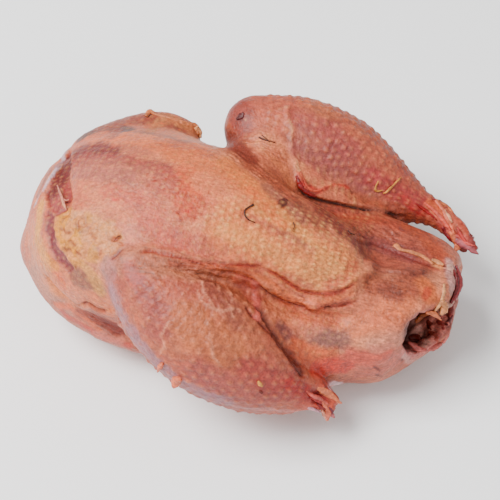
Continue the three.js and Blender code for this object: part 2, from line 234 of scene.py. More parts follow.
def torso(p):
    ribs = ellipsoid(p, (-48, 3, 40), (49, 40, 36))
    loin = full_ellipsoid(p, (42, 0.5, 28), (57, 38, 26), 2.5, 5, 3)
    for normal, offset in VENT_CUTS:
        loin = carve(loin, p @ np.array(normal, np.float32) - offset, 4)
    back = full_ellipsoid(p, (-10, 1, 14), (72, 30, 19), 2.6)
    body = blend(blend(ribs, loin, 22), back, 10)
    m = np.stack([p[:, 0], np.hypot(p[:, 1], 5), p[:, 2]], 1)
    lobe = ellipsoid(m, (-38, 19, 53), (46, 24, 29))
    tip = ellipsoid(m, (8, 10, 50), (44, 19, 24), -6, -17)
    breast = blend(blend(lobe, tip, 16), limb(p, KEEL), 24)
    return blend(body, breast, 11)


def hollow(p):
    room = ellipsoid(p, (28, 0, 33), (58, 22, 18))
    vent = blend(limb(p, VENT[0]), limb(p, VENT[1]), 6)
    return blend(blend(vent, limb(p, NOTCH), 14), room, 8)


def field(p):
    """Distance to the bird, under 0 inside it."""
    p = np.asarray(p, np.float32)
    d = blend(torso(p), ellipsoid(p, *FAR_BREAST), 10)
    d = blend(d, ellipsoid(p, *FAR_SHOULDER), 12)
    d = blend(d, ellipsoid(p, *NECK_END), 12)
    for form in (NEAR_WING, FAR_WING):
        d = blend(d, limb(p, form), 8)
    for thigh, drum in ((NEAR_THIGH, NEAR_DRUM), (FAR_THIGH, FAR_DRUM)):
        d = blend(d, limb(p, thigh, 1), 9)
        d = blend(d, limb(p, drum), 5)
    for line, height, width in ((NEAR_FOLD, 1.6, 3.2), (TIP_FOLD, 1.4, 3.0)):
        d = d - fold(p, line, height, width)
    for line, depth, width in ((NEAR_CREASE, 2.0, 3.4), (BELLY_CREASE, 1.4, 3.2),
                               (FAR_CREASE, 1.4, 3.6), (NECK_TEAR, 1.2, 3.0),
                               (NECK_TEAR_LOW, 1.4, 2.8), (WING_CREASE, 2.0, 3.0),
                               (BELLY_DENT, 3.6, 10.0), (WEB_DENT, 2.2, 7.0)):
        d = d + fold(p, line, depth, width)
    d = carve(d, -hollow(p), 4)
    return carve(d, -p[:, 2], 4)


# Seeded noise, in numpy.

def scattered(i, j, k, seed):
    """A fixed value from 0 to 1 for each whole-number cell."""
    n = (i * 374761393 + j * 668265263 + k * 2147483647 + seed * 1274126177) & 0xFFFFFFFF
    n = ((n ^ (n >> 13)) * 1274126177) & 0xFFFFFFFF
    return ((n ^ (n >> 16)) & 0xFFFFFF) / float(0xFFFFFF)


def noise(p, size, seed=0):
    """Smooth noise from -1 to 1 with features of about that size in mm."""
    q = np.asarray(p, float) / size
    i = np.floor(q).astype(np.int64)
    f = q - i
    f = f * f * f * (f * (f * 6 - 15) + 10)
    out = 0
    for corner in CUBE:
        w = np.where(corner, f, 1 - f).prod(1)
        out = out + w * scattered(*(i + corner).T, seed)
    return out * 2 - 1


def rough_noise(p, size, seed=0, layers=3):
    out = 0
    for n in range(layers):
        out = out + noise(p, size / 2 ** n, seed + n) / 2 ** n
    return out / (2 - 2 ** (1 - layers))


def cell_distance(p, size, seed=0):
    """Distance to the nearest of scattered points, in cell sizes, and that point's own value."""
    q = np.asarray(p, float) / size
    base = np.floor(q).astype(np.int64)
    best = np.full(len(q), FAR)
    own = np.zeros(len(q))
    for step in np.ndindex(3, 3, 3):
        cell = (base + np.array(step) - 1).T
        d = np.sqrt(sum((q[:, n] - (cell[n] + scattered(*cell, seed + n))) ** 2 for n in range(3)))
        closer = d < best
        best = np.where(closer, d, best)
        own = np.where(closer, scattered(*cell, seed + 7), own)
    return best, own


def step_up(x, low, high):
    """0 up to low, 1 from high on, and smooth between them."""
    t = np.clip((x - low) / (high - low), 0, 1)
    return t * t * (3 - 2 * t)


def step_down(x, low, high):
    return 1 - step_up(x, low, high)


def faded_ends(passed, ends):
    """1 along a line, fading to 0 over its ends."""
    return step_up(passed, 0.0, ends) * step_down(passed, 1 - ends, 1.0)


# Meshing the skin.

def sampled():
    """The field at the corners of a fine grid; far from the skin only its sign is right."""
    coarse_step = COARSE * GRID
    n = np.ceil((HIGH - LOW) / coarse_step).astype(int) + 1
    coarse_axes = [LOW[i] + coarse_step * np.arange(n[i]) for i in range(3)]
    points = np.stack(np.meshgrid(*coarse_axes, indexing="ij"), -1).reshape(-1, 3)
    coarse = field(points).reshape(n)
    fine = COARSE * (n - 1) + 1
    nearest = [np.clip(np.round(np.arange(fine[i]) / COARSE).astype(int), 0, n[i] - 1) for i in range(3)]
    values = coarse[np.ix_(*nearest)].astype(np.float32)
    close = np.argwhere(np.abs(values) < 1.3 * coarse_step)
    for start in range(0, len(close), BATCH):
        part = close[start:start + BATCH]
        values[tuple(part.T)] = field(LOW + part * GRID)
    return values


def crossings(values, active):
    """For each active cube, the middle of the points where the skin crosses its edges."""
    v = [values[tuple((active + c).T)] for c in CUBE]
    total = np.zeros((len(active), 3))
    crossed = np.zeros(len(active))
    for a in range(8):
        for bit in (1, 2, 4):
            b = a | bit
            if a == b:
                continue
            cut = (v[a] < 0) != (v[b] < 0)
            t = np.where(cut, v[a] / np.where(cut, v[a] - v[b], 1), 0)
            total += cut[:, None] * (CUBE[a] + t[:, None] * (CUBE[b] - CUBE[a]))
            crossed += cut
    return total / crossed[:, None]


def net(values):
    """One point in each crossed cube, and a quad across each crossed grid edge."""
    inside = values < 0
    cells = np.array(inside.shape) - 1
    count = sum(inside[tuple(slice(k, k + n) for k, n in zip(c, cells))].astype(np.int8) for c in CUBE)
    active = np.argwhere((count > 0) & (count < 8))
    ids = np.full(cells, -1, np.int64)
    ids[tuple(active.T)] = np.arange(len(active))
    points = LOW + (active + crossings(values, active)) * GRID
    quads = []
    for axis in range(3):
        here = [slice(1, -1)] * 3
        ahead = list(here)
        ahead[axis] = slice(2, None)
        a, b = inside[tuple(here)], inside[tuple(ahead)]
        at = np.argwhere(a != b) + 1
        outward = a[a != b]
        eu, ew = np.roll(np.eye(3, dtype=int), -axis - 1, 0)[:2]
        ring = [ids[tuple((at - s * eu - t * ew).T)] for s, t in ((0, 0), (1, 0), (1, 1), (0, 1))]
        ring = np.stack(ring, 1)
        ring[~outward] = ring[~outward][:, ::-1]
        quads.append(ring)
    return points, np.vstack(quads)


def slope(p, e=0.35):
    """The field and its gradient at the points."""
    d = field(p)
    g = np.stack([field(p + e * np.eye(3)[i]) - d for i in range(3)], 1) / e
    return d, g


def settle(points, turns=2):
    """Moves the points onto the skin and returns the outward directions there too."""
    p = points.copy()
    for _ in range(turns):
        d, g = slope(p)
        move = (d / np.maximum((g ** 2).sum(1), 0.2))[:, None] * g
        length = np.linalg.norm(move, axis=1, keepdims=True)
        p -= move * np.minimum(1, 0.7 * GRID / np.maximum(length, 1e-6))
    return p, g / np.maximum(np.linalg.norm(g, axis=1, keepdims=True), 1e-6)


# Finding places on the skin by where the photograph shows them.

def camera_axes():
    az, el = math.radians(CAMERA_AZIMUTH), math.radians(CAMERA_ELEVATION)
    back = np.array((math.sin(az) * math.cos(el), -math.cos(az) * math.cos(el), math.sin(el)))
    right = np.array((math.cos(az), math.sin(az), 0.0))
    return right, np.cross(back, right), back


class Seen:
    """Turns pixels of the photograph into points on the skin."""

    def __init__(self, points, quads):
        self.tree = BVHTree.FromPolygons(points.tolist(), quads.tolist())
        self.right, self.up, self.back = camera_axes()
        self.eye = CAMERA_AIM + self.back * CAMERA_DISTANCE

    def ray(self, pixel):
        k = SENSOR / CAMERA_LENS / PHOTO_SIZE
        x = (pixel[0] - PHOTO_SIZE / 2) * k
        y = (PHOTO_SIZE / 2 - pixel[1]) * k
        return -self.back + x * self.right + y * self.up

    def surface(self, pixel):
        """The point of the skin at a pixel and the way out there; the nearest one beside the bird."""
        ray = self.ray(pixel)
        hit, out = self.tree.ray_cast(Vector(self.eye), Vector(ray))[:2]
        if hit is None:
            hit, out = self.tree.find_nearest(Vector(self.eye + ray * CAMERA_DISTANCE))[:2]
        out = np.array(out)
        return np.array(hit), out if out @ ray < 0 else -out

    def point(self, pixel):
        return self.surface(pixel)[0]

    def line(self, pixels):
        return [self.point(q) for q in pixels]

    def beside(self, pixel, anchor):
        """The place that shows at a pixel, as far from the camera as the skin nearest to it is."""
        ray = self.ray(pixel)
        depth = float((self.eye - anchor) @ self.back)
        for _ in range(6):
            near = np.array(self.tree.find_nearest(Vector(self.eye + depth * ray))[0])
            depth += 0.5 * (float((self.eye - near) @ self.back) - depth)
        return self.eye + depth * ray

    def pixels(self, points):
        """Where the photograph shows each point."""
        away = points - self.eye
        depth = -(away @ self.back)
        k = PHOTO_SIZE * CAMERA_LENS / SENSOR
        return np.stack([PHOTO_SIZE / 2 + k * (away @ self.right) / depth,
                         PHOTO_SIZE / 2 - k * (away @ self.up) / depth], 1)


# Colours of the raw bird as the photograph shows them, as red, green and blue from 0 to 255.

PEACH = (214, 150, 120)
PALE_PEACH = (222, 168, 138)
APRICOT = (222, 146, 106)
ROSY = (196, 120, 102)
PINK = (204, 132, 118)
MAUVE = (160, 98, 96)
GREY = (150, 108, 98)
TAN = (196, 138, 104)
LEG_TAN = (184, 114, 96)
BUMP_TAN = (210, 150, 116)
BUMP_CREAM = (244, 198, 140)
CREAM = (232, 186, 148)
STRAW = (228, 170, 112)
ORANGE = (222, 134, 88)
CRIMSON = (196, 76, 66)
BRICK = (160, 84, 66)
# Dark paint for cracks and creases: partly their own colour, partly painted shade.
DEEP_RED = (112, 44, 36)
CRACK_RED_AND_SHADE = (150, 62, 48)
CRACK_SHADE_DARK = (112, 42, 32)
SILVER = (214, 194, 200)
HOLLOW_SHADE = (40, 16, 13)
SPECK = (104, 54, 50)
HAIR = (66, 40, 32)

# Colours are painted richer and darker than they show, because studio light pales them.
RICHER = 1.75
SOFTER = 420.0
DARKER = 0.75


def from_screen(colour):
    """The paint, as light from 0 to 1, for a colour of the photograph."""
    c = np.array(colour, float)
    gap = c.max() - c
    c = np.clip(c.max() - gap * RICHER / (1 + gap / SOFTER), 3, 255) / 255.0
    return DARKER * np.where(c <= 0.04045, c / 12.92, ((c + 0.055) / 1.055) ** 2.4)


# Lines and outlines that the photograph shows, in its pixels.

KNEE_FOLD = ((136, 254), (150, 251), (167, 255), (194, 261), (219, 265), (249, 265), (266, 269))
UPPER_FOLD = ((262, 268), (276, 274), (289, 283), (302, 290), (318, 293), (334, 292), (350, 287),
              (362, 277))
LOWER_FOLD = ((205, 270), (232, 272), (252, 279), (268, 292), (284, 301), (302, 306), (328, 307),
              (348, 304), (362, 297))
INNER_CREASE = ((244, 303), (251, 314), (265, 328), (280, 345), (293, 363), (309, 382))
LEG_SHADE = ((260, 314), (268, 326), (280, 342), (292, 357), (302, 370))
RED_FOLD = ((254, 284), (257, 300), (258, 318))
CURLY_WRINKLES = (
    ((203, 281), (204, 291), (210, 298), (212, 307), (221, 313)),
    ((213, 278), (220, 287), (221, 298), (229, 306), (232, 317)),
    ((226, 284), (231, 293), (232, 303), (240, 312)),
    ((198, 290), (202, 301), (210, 309), (224, 311), (233, 309)),
    ((168, 322), (163, 336), (165, 347), (159, 357)),
    ((206, 338), (212, 352), (222, 366)),
)
FAR_CREASE_LINE = ((297, 180), (304, 194), (320, 200), (345, 206), (366, 209), (391, 214), (408, 217))
RED_SEAM = ((298, 176), (305, 188), (316, 191), (333, 184), (348, 190))
KNEE_EDGE = ((286, 108), (291, 130), (292, 150), (296, 168), (301, 180))
BELLY_CRACK = ((352, 240), (372, 244), (395, 252), (420, 262), (440, 268))
BELLY_CRACK_LOW = ((362, 262), (385, 272), (408, 275), (430, 272))
NECK_MUSCLE = ((70, 151), (71, 163), (69, 180), (72, 199), (66, 212), (56, 216), (47, 206), (45, 193),
               (54, 174), (61, 160))
NECK_STRIP = ((47, 210), (55, 215), (53, 228), (56, 244), (66, 258), (74, 268), (70, 273), (58, 262),
              (49, 247), (45, 230))
NECK_EDGE = ((70, 149), (62, 160), (53, 174), (44, 190), (35, 207))
CRUMBLY_FAT = ((55, 219), (68, 208), (84, 211), (98, 216), (112, 222), (124, 238), (119, 252),
               (104, 262), (88, 262), (76, 268), (64, 254), (54, 236))
BREAST_SCAB = ((278, 200), (284, 198), (288, 202), (286, 208), (280, 209), (277, 205))
KNEE_SCAB = ((238, 115), (243, 112), (244, 117), (241, 122), (236, 120))
BREAST_TIP = ((205, 214), (235, 196), (262, 204), (290, 205), (318, 214), (344, 236), (360, 258),
              (358, 282), (340, 291), (312, 290), (288, 280), (262, 264), (232, 250), (214, 236))
BELLY_SHADE = ((306, 200), (334, 208), (366, 210), (400, 217), (428, 226), (446, 250), (440, 270),
               (414, 276), (384, 274), (364, 262), (350, 238), (326, 222))
WEB_SHADE = ((226, 118), (240, 140), (262, 150), (284, 150), (296, 176), (308, 200), (322, 218),
             (300, 206), (268, 182), (240, 166), (222, 146))
VENT_RIM = ((404, 342), (411, 332), (421, 323), (431, 315))
MEMBRANE_LINE = ((449, 262), (453, 275), (452, 290), (448, 304))
RED_SPOTS = ((160, 184), (176, 190), (192, 202), (186, 212))
YELLOW_FAT = ((60, 218), (64, 230), (70, 244))
MUSCLE_SHADE_BAND = ((67, 158), (60, 172), (52, 188))
SINEW = ((60, 187), (62, 198), (66, 208))
HOCK_NOTCH = ((338, 408), (342, 411))
NEAR_HOCK = (322, 399)
FAR_HOCK = (452, 229)


# Dabs of paint, in the order they go on: colour, amount, radius in mm and a line of pixels.

BREAST_DABS = (
    ((204, 140, 118), 0.8, 9, ((90, 170), (130, 190), (160, 215), (140, 235))),
    (APRICOT, 0.8, 5, ((100, 139), (120, 137), (140, 141), (165, 150), (190, 156))),
    ((214, 142, 100), 0.9, 7, ((180, 156), (205, 166), (225, 174), (242, 186))),
    ((192, 122, 92), 0.7, 5, ((170, 144), (190, 148), (206, 154))),
    ((122, 64, 68), 0.95, 6.0, ((80, 151), (94, 149), (108, 153))),
    ((152, 92, 90), 0.85, 4.5, ((78, 160), (110, 159), (135, 163), (160, 168), (176, 178))),
    ((166, 118, 116), 0.7, 4.0, ((76, 172), (100, 174), (128, 176))),
    (ROSY, 0.8, 4, ((108, 190), (122, 193), (134, 197))),
    (PINK, 0.6, 6, ((140, 200), (150, 215))),
    ((190, 108, 84), 0.85, 6, ((165, 186), (176, 188), (190, 196), (186, 208))),
    (ORANGE, 0.6, 6, ((188, 172), (200, 182), (206, 196))),
    (MAUVE, 0.25, 4, ((205, 200), (222, 208), (240, 216))),
    ((234, 166, 132), 0.6, 6, ((204, 180), (216, 188), (230, 196))),
    ((190, 124, 108), 0.8, 6, ((165, 240), (195, 247), (230, 254), (262, 262))),
    (MAUVE, 0.5, 3.5, ((240, 252), (270, 266), (296, 280))),
    ((178, 126, 116), 0.6, 7, ((88, 166), (125, 174), (160, 184))),
    ((196, 116, 100), 0.6, 5, ((150, 226), (165, 236), (182, 244))),
    ((226, 156, 104), 0.85, 13, ((236, 226), (262, 236), (300, 252), (334, 268))),
    ((228, 154, 92), 0.85, 6, ((228, 164), (250, 184), (272, 206), (288, 226))),
    (STRAW, 0.7, 4.0, ((222, 232), (250, 240), (278, 254), (300, 268), (322, 280))),
    (STRAW, 0.8, 4.5, ((262, 206), (285, 222), (305, 240), (325, 258), (340, 272))),
    (GREY, 0.75, 4.5, ((270, 190), (288, 203), (302, 218))),
    (MAUVE, 0.5, 2.5, ((246, 216), (270, 228), (292, 238), (312, 250))),
    (GREY, 0.45, 1.2, ((271, 227), (285, 234), (305, 243))),
    (ORANGE, 0.55, 2.5, ((250, 190), (266, 206), (282, 226))),
    ((196, 116, 92), 0.7, 3, ((330, 284), (344, 278), (354, 266))),
    (DEEP_RED, 0.95, 0.8, ((182, 182), (184, 183))),
    (DEEP_RED, 0.8, 0.7, ((72, 168), (74, 169))),
    (CRIMSON, 0.8, 0.9, ((114, 199), (117, 199))),
    (CRIMSON, 0.7, 1.0, ((185, 209), (187, 210))),
)

NECK_DABS = (
    ((206, 150, 122), 0.8, 9, ((90, 225), (100, 245), (92, 262))),
    ((222, 168, 84), 0.95, 3.5, ((41, 206), (39, 218), (38, 230))),
    ((190, 146, 130), 0.7, 6, ((34, 262), (38, 280), (48, 296), (62, 305))),
    ((220, 154, 106), 0.8, 6, ((36, 250), (46, 272), (58, 288))),
    (ORANGE, 0.9, 2.2, ((38, 248), (48, 264), (58, 275), (64, 286))),
    ((226, 160, 78), 0.95, 2.2, ((36, 242), (46, 257), (56, 266))),
    ((132, 96, 84), 0.85, 4.5, ((76, 276), (88, 281), (98, 290))),
    (APRICOT, 0.75, 4.5, ((95, 296), (106, 300), (114, 312))),
    ((206, 160, 104), 0.8, 3, ((84, 266), (92, 276), (100, 290))),
    ((222, 172, 104), 0.55, 4, ((37, 238), (41, 250), (46, 262))),
)

NECK_EDGE_DABS = (
    (CREAM, 1.0, 0.8, SINEW),
    (SILVER, 0.9, 1.1, NECK_EDGE),
    ((84, 56, 58), 0.95, 4.5, ((84, 136), (98, 129), (112, 127), (126, 130))),
    ((150, 108, 104), 0.8, 2.0, ((66, 148), (57, 160), (47, 176), (38, 194))),
)

WING_DABS = (
    ((150, 94, 80), 0.9, 6, ((105, 126), (130, 120), (155, 118), (180, 128))),
    ((146, 88, 76), 0.7, 3.0, ((108, 122), (120, 119), (134, 118))),
    ((190, 134, 98), 0.8, 3.5, ((146, 112), (165, 116), (181, 123), (194, 130))),
    # Painted shadow: a grey band between the far wing's stub and the breast.
    (GREY, 0.6, 2.2, ((136, 132), (165, 136), (186, 142))),
    ((146, 86, 76), 0.85, 5, ((82, 312), (98, 318), (116, 328))),
    (CRIMSON, 0.6, 2.0, ((62, 312), (80, 324), (100, 336), (130, 346))),
    ((216, 150, 132), 0.7, 2.4, ((98, 334), (118, 342), (138, 347))),
    (ORANGE, 0.85, 1.6, ((56, 305), (70, 308), (84, 318), (98, 330))),
    (DEEP_RED, 0.5, 3.0, ((96, 312), (110, 322), (122, 330))),
)

WING_SPOTS = (
    (ORANGE, 0.9, 0.7, ((162, 123), (163, 123))),
    (ORANGE, 0.9, 0.7, ((179, 130), (180, 130))),
)

LEG_DABS = (
    ((198, 142, 116), 0.8, 6, ((118, 262), (145, 260), (175, 268), (200, 272))),
    # Painted sheen: a pale bluish rim along the near leg's lower left edge.
    ((182, 142, 142), 0.6, 4.5, ((108, 266), (109, 282), (116, 300))),
    ((168, 132, 140), 0.75, 5.5, ((112, 295), (128, 328), (150, 356), (180, 383), (222, 402))),
    ((184, 92, 86), 0.6, 4, ((130, 268), (136, 280))),
    (MAUVE, 0.6, 6, ((145, 292), (150, 305), (160, 330))),
    ((192, 130, 92), 0.75, 9, ((190, 318), (205, 335), (228, 352))),
    ((150, 100, 88), 0.7, 5, ((212, 284), (222, 298), (236, 318))),
    (MAUVE, 0.6, 7, ((200, 372), (230, 388), (262, 400))),
    ((168, 90, 84), 0.8, 6, ((250, 368), (280, 388), (305, 396))),
    ((170, 62, 58), 0.85, 3.2, ((290, 384), (308, 393), (322, 402))),
    ((200, 118, 98), 0.65, 3.5, ((238, 279), (247, 285), (253, 296))),
    ((206, 160, 158), 0.7, 1.6, ((230, 405), (270, 410), (300, 411), (322, 414))),
    ((144, 82, 70), 0.9, 7, ((236, 103), (240, 120), (238, 140))),
    ((140, 76, 60), 0.75, 3.5, ((226, 126), (228, 140), (234, 150))),
    (MAUVE, 0.7, 6, ((300, 118), (325, 130), (350, 148))),
    ((158, 96, 96), 0.75, 5, ((298, 150), (312, 160), (332, 166))),
    ((150, 106, 98), 0.45, 7, ((300, 140), (340, 175), (370, 190))),
    ((148, 86, 84), 0.65, 6, ((334, 154), (352, 166), (368, 176))),
    ((168, 86, 86), 0.85, 5, ((374, 176), (400, 192), (420, 206))),
    ((170, 56, 52), 0.75, 2.2, ((400, 196), (412, 206), (424, 214))),
    ((172, 106, 80), 0.7, 3.0, ((348, 196), (370, 202), (395, 208))),
    ((220, 128, 84), 0.85, 2.6, ((430, 204), (440, 214), (450, 226))),
    ((208, 122, 114), 0.8, 2.6, ((440, 222), (456, 236), (472, 250))),
)

WEB_DABS = (
    ((112, 58, 44), 0.85, 4.2, ((226, 134), (236, 148), (250, 160))),
    ((162, 98, 72), 0.7, 3.5, ((250, 166), (272, 182), (292, 198))),
    ((136, 84, 66), 0.7, 4.0, ((300, 206), (312, 216), (322, 226))),
    ((206, 140, 100), 0.6, 2.0, ((262, 152), (280, 166), (292, 184))),
    (CREAM, 0.6, 0.7, KNEE_EDGE),
    ((130, 50, 46), 0.8, 2.0, ((300, 180), (307, 188), (312, 194))),
    (CRIMSON, 0.75, 1.2, RED_SEAM),
)

SCAB_EDGE_DABS = (
    (CREAM, 0.8, 0.6, ((243, 118), (245, 119))),
)

BELLY_DABS = (
    ((206, 138, 108), 0.85, 8, ((275, 312), (300, 318), (345, 318), (390, 300))),
    ((218, 142, 102), 0.8, 6, ((352, 328), (380, 318), (404, 300))),
    ((204, 126, 96), 0.7, 5, ((290, 300), (310, 314), (330, 320))),
    ((140, 104, 98), 0.95, 4.5, ((314, 338), (328, 340), (342, 343))),
    ((134, 92, 88), 0.9, 3.5, ((282, 326), (290, 334), (296, 338))),
    ((216, 146, 122), 0.5, 3.5, ((298, 326), (306, 333), (316, 330))),
    ((210, 124, 82), 0.85, 5, ((298, 350), (316, 358), (330, 360))),
    ((212, 90, 78), 0.85, 4.5, ((318, 368), (332, 366), (346, 366))),
    ((206, 112, 98), 0.8, 5, ((352, 358), (372, 360), (385, 352))),
    (PINK, 0.7, 5, ((360, 372), (385, 364), (405, 354))),
    ((220, 168, 146), 0.6, 4, ((375, 345), (400, 340))),
    # Painted reflection: the belly's lower edge painted near white, as light thrown up from the floor.
    ((250, 226, 230), 1.0, 2.4, ((328, 387), (345, 388), (360, 388), (384, 381), (400, 372))),
)

SHADED_DABS = (
    ((126, 66, 52), 0.85, 4.5, ((322, 212), (336, 224), (350, 238), (360, 248))),
    ((176, 102, 80), 0.8, 3.0, ((334, 212), (360, 217), (385, 222), (408, 230))),
    ((124, 78, 76), 0.75, 5.0, ((372, 244), (388, 249), (408, 255))),
    ((96, 70, 76), 0.7, 2.0, ((404, 228), (411, 231))),
    ((176, 104, 74), 0.8, 4, ((410, 228), (430, 244), (442, 258))),
    ((134, 90, 76), 0.5, 4.5, ((382, 270), (405, 274), (426, 273))),
    ((154, 98, 78), 0.85, 6, ((372, 282), (396, 287), (420, 286))),
    ((206, 132, 88), 0.85, 4, ((425, 284), (430, 298), (424, 312))),
    (CRIMSON, 0.5, 1.6, ((424, 298), (427, 290))),
    ((128, 82, 72), 0.6, 3.5, ((384, 290), (398, 296))),
)

VENT_DABS = (
    ((216, 150, 142), 0.85, 3.0, ((404, 350), (420, 353), (438, 349))),
    ((214, 176, 168), 0.7, 1.8, ((404, 356), (412, 362), (420, 360))),
    ((200, 164, 158), 0.85, 2.6, MEMBRANE_LINE),
    ((214, 200, 206), 0.8, 1.2, ((454, 268), (456, 282), (453, 296))),
    ((128, 60, 60), 0.9, 1.6, ((460, 268), (461, 285), (458, 303))),
    ((216, 158, 110), 0.8, 2.2, ((440, 304), (444, 312), (436, 316))),
    ((218, 164, 116), 0.8, 1.0, VENT_RIM),
    ((214, 160, 118), 0.85, 1.1, ((396, 246), (414, 254), (430, 262), (442, 268))),
    (SPECK, 0.85, 0.8, ((374, 366), (380, 370))),
    (SPECK, 0.85, 0.8, ((376, 374), (382, 377))),
    (SPECK, 0.85, 0.8, ((400, 358), (402, 361))),
)

FOLD_DABS = (
    ((206, 122, 110), 0.8, 1.8, RED_FOLD),
    ((104, 54, 44), 0.85, 3.4, LEG_SHADE),
    ((216, 136, 92), 0.7, 1.5, ((205, 266), (232, 268), (258, 276), (278, 290), (300, 300), (328, 301),
     (352, 294))),
    ((150, 84, 62), 0.6, 1.6, ((170, 262), (200, 266), (228, 268), (250, 272))),
    ((150, 82, 66), 0.6, 1.8, ((318, 306), (332, 305), (346, 302))),
)


# Wrinkles along stretched skin: line of pixels, reach and spacing in mm, height and seed.

WING_PLEATS = (
    (((88, 314), (104, 324), (124, 336)), 5, 2.6, 0.35, 71),
)

LEG_PLEATS = (
    (((226, 150), (250, 165), (276, 184), (300, 206)), 9, 2.6, 0.4, 73),
    (((244, 136), (266, 146), (288, 166)), 8, 2.4, 0.35, 75),
    (((134, 262), (170, 268), (210, 276)), 7, 2.6, 0.25, 77),
)

BELLY_PLEATS = (
    (((330, 218), (365, 228), (400, 240), (432, 256)), 9, 2.8, 0.4, 79),
    (((352, 290), (380, 284), (410, 286), (432, 292)), 8, 2.6, 0.4, 81),
    (((370, 310), (392, 318), (408, 330)), 8, 2.4, 0.35, 83),
)

FOLD_PLEATS = (
    (((160, 258), (200, 265), (236, 270)), 7, 2.4, 0.35, 85),
    (((262, 284), (285, 294), (312, 299), (340, 297), (362, 288)), 6, 2.2, 0.35, 87),
)


# Cracks: line of pixels, depth, height of the lip, its width, colour and how strong it is. The colour
# darkens each crack, partly the crease's own colour and partly painted shade.

CRACKS = (
    (KNEE_FOLD, 0.9, 0.7, 1.6, CRACK_RED_AND_SHADE, 0.8),
    (UPPER_FOLD, 1.0, 0.7, 1.4, CRACK_RED_AND_SHADE, 0.85),
    (LOWER_FOLD, 1.3, 1.0, 1.8, (140, 66, 50), 0.8),
    (INNER_CREASE, 1.4, 0.15, 2.0, CRACK_SHADE_DARK, 0.95),
    (FAR_CREASE_LINE, 1.8, 0.8, 1.5, (64, 22, 16), 1.0),
    (BELLY_CRACK, 0.7, 0.6, 1.4, CRACK_SHADE_DARK, 0.7),
    (BELLY_CRACK_LOW, 0.5, 0.5, 1.4, (120, 74, 64), 0.5),
    (((110, 260), (116, 256), (122, 250)), 0.8, 0.3, 1.0, CRACK_SHADE_DARK, 0.9),
    (((111, 244), (114, 240), (118, 239), (121, 235)), 0.4, 0.1, 0.8, (160, 76, 44), 0.6),
    (((112, 236), (117, 242), (124, 246)), 0.4, 0.1, 0.8, (160, 76, 44), 0.6),
    (((356, 230), (362, 236), (368, 240)), 0.5, 0.3, 0.8, CRACK_SHADE_DARK, 0.7),
    (((96, 246), (100, 249), (103, 255)), 0.3, 0.0, 0.8, CRACK_RED_AND_SHADE, 0.5),
    (((322, 296), (336, 294), (348, 290)), 0.6, 0.3, 0.8, CRACK_RED_AND_SHADE, 0.7),
)
WING_CRACK = (((126, 326), (104, 311), (88, 303), (74, 306)), 1.4, 0.8, 1.8, DEEP_RED, 0.9)

# Thin cracks in the crumbly fat: pixels, depth and strength. They are painted dark as painted shade in the
# cracks.
FISSURES = (
    (((88, 233), (92, 234), (94, 238), (97, 239)), 0.35, 0.55),
    (((62, 247), (66, 250), (68, 249), (72, 250)), 0.35, 0.7),
    (((75, 249), (78, 253), (80, 253), (82, 257)), 0.35, 0.7),
    (((58, 229), (63, 230), (66, 233), (72, 232)), 0.35, 0.7),
    (((66, 241), (71, 241), (74, 245), (78, 245)), 0.35, 0.7),
    (((74, 222), (78, 226), (79, 231), (84, 232)), 0.3, 0.55),
    (((84, 222), (87, 227), (92, 228)), 0.3, 0.5),
)


# Torn strips and drops at edges: pixels, half widths, half thickness and colour. The strips of a
# hock start from one pixel; the others each name the pixel that they start from.

NEAR_HOCK_STRIPS = (
    (((314, 387), (322, 390), (329, 395), (335, 400), (341, 403)), (0.6, 1.5, 1.8, 1.4, 0.3),
     0.8, (228, 154, 118)),
    (((318, 386), (328, 391), (336, 399)), (0.3, 0.6, 0.3), 0.9, (228, 158, 120)),
    (((306, 391), (314, 396), (322, 400), (328, 404)), (0.4, 0.9, 0.9, 0.4), 0.9, (218, 128, 116)),
    (((309, 396), (316, 400), (323, 404)), (0.4, 0.8, 0.4), 0.8, (176, 66, 62)),
    (((317, 403), (321, 406), (325, 409)), (0.6, 1.1, 0.5), 0.8, (140, 40, 44)),
    (((321, 401), (326, 407), (328, 413), (328, 419)), (0.8, 1.2, 1.3, 0.6), 1.2, (218, 138, 112)),
    (((322, 410), (325, 415), (327, 420)), (0.5, 0.9, 0.5), 0.9, (230, 172, 150)),
    (((329, 406), (332, 410), (332, 413)), (0.6, 0.8, 0.4), 0.8, (104, 56, 66)),
    (((329, 412), (332, 415), (334, 417)), (0.7, 1.0, 0.6), 0.9, (190, 116, 118)),
    (((296, 404), (308, 407), (320, 412)), (0.3, 0.7, 0.4), 0.5, (222, 182, 190)),
)

FAR_HOCK_STRIPS = (
    (((456, 238), (464, 244), (471, 249), (478, 254)), (1.6, 2.1, 1.5, 0.3), 1.1, (168, 110, 114)),
    (((458, 243), (463, 249), (467, 251)), (1.2, 1.4, 0.5), 1.2, (100, 50, 42)),
    (((450, 231), (456, 238), (458, 245), (456, 250)), (1.4, 1.9, 2.0, 0.8), 1.0, (222, 146, 112)),
    (((454, 234), (462, 240), (469, 244), (475, 246)), (0.9, 0.9, 0.6, 0.3), 0.6, (206, 114, 108)),
    (((436, 200), (444, 205), (450, 210), (454, 218), (458, 226)), (0.6, 1.0, 1.0, 0.8, 0.3),
     0.9, (206, 140, 104)),
    (((442, 227), (448, 235), (455, 243)), (0.6, 1.3, 0.7), 1.0, (122, 44, 50)),
    (((433, 199), (440, 202), (447, 208)), (0.4, 1.0, 0.5), 0.8, (146, 74, 78)),
    (((457, 227), (461, 235), (466, 242)), (0.4, 0.8, 0.4), 0.8, (196, 100, 94)),
)

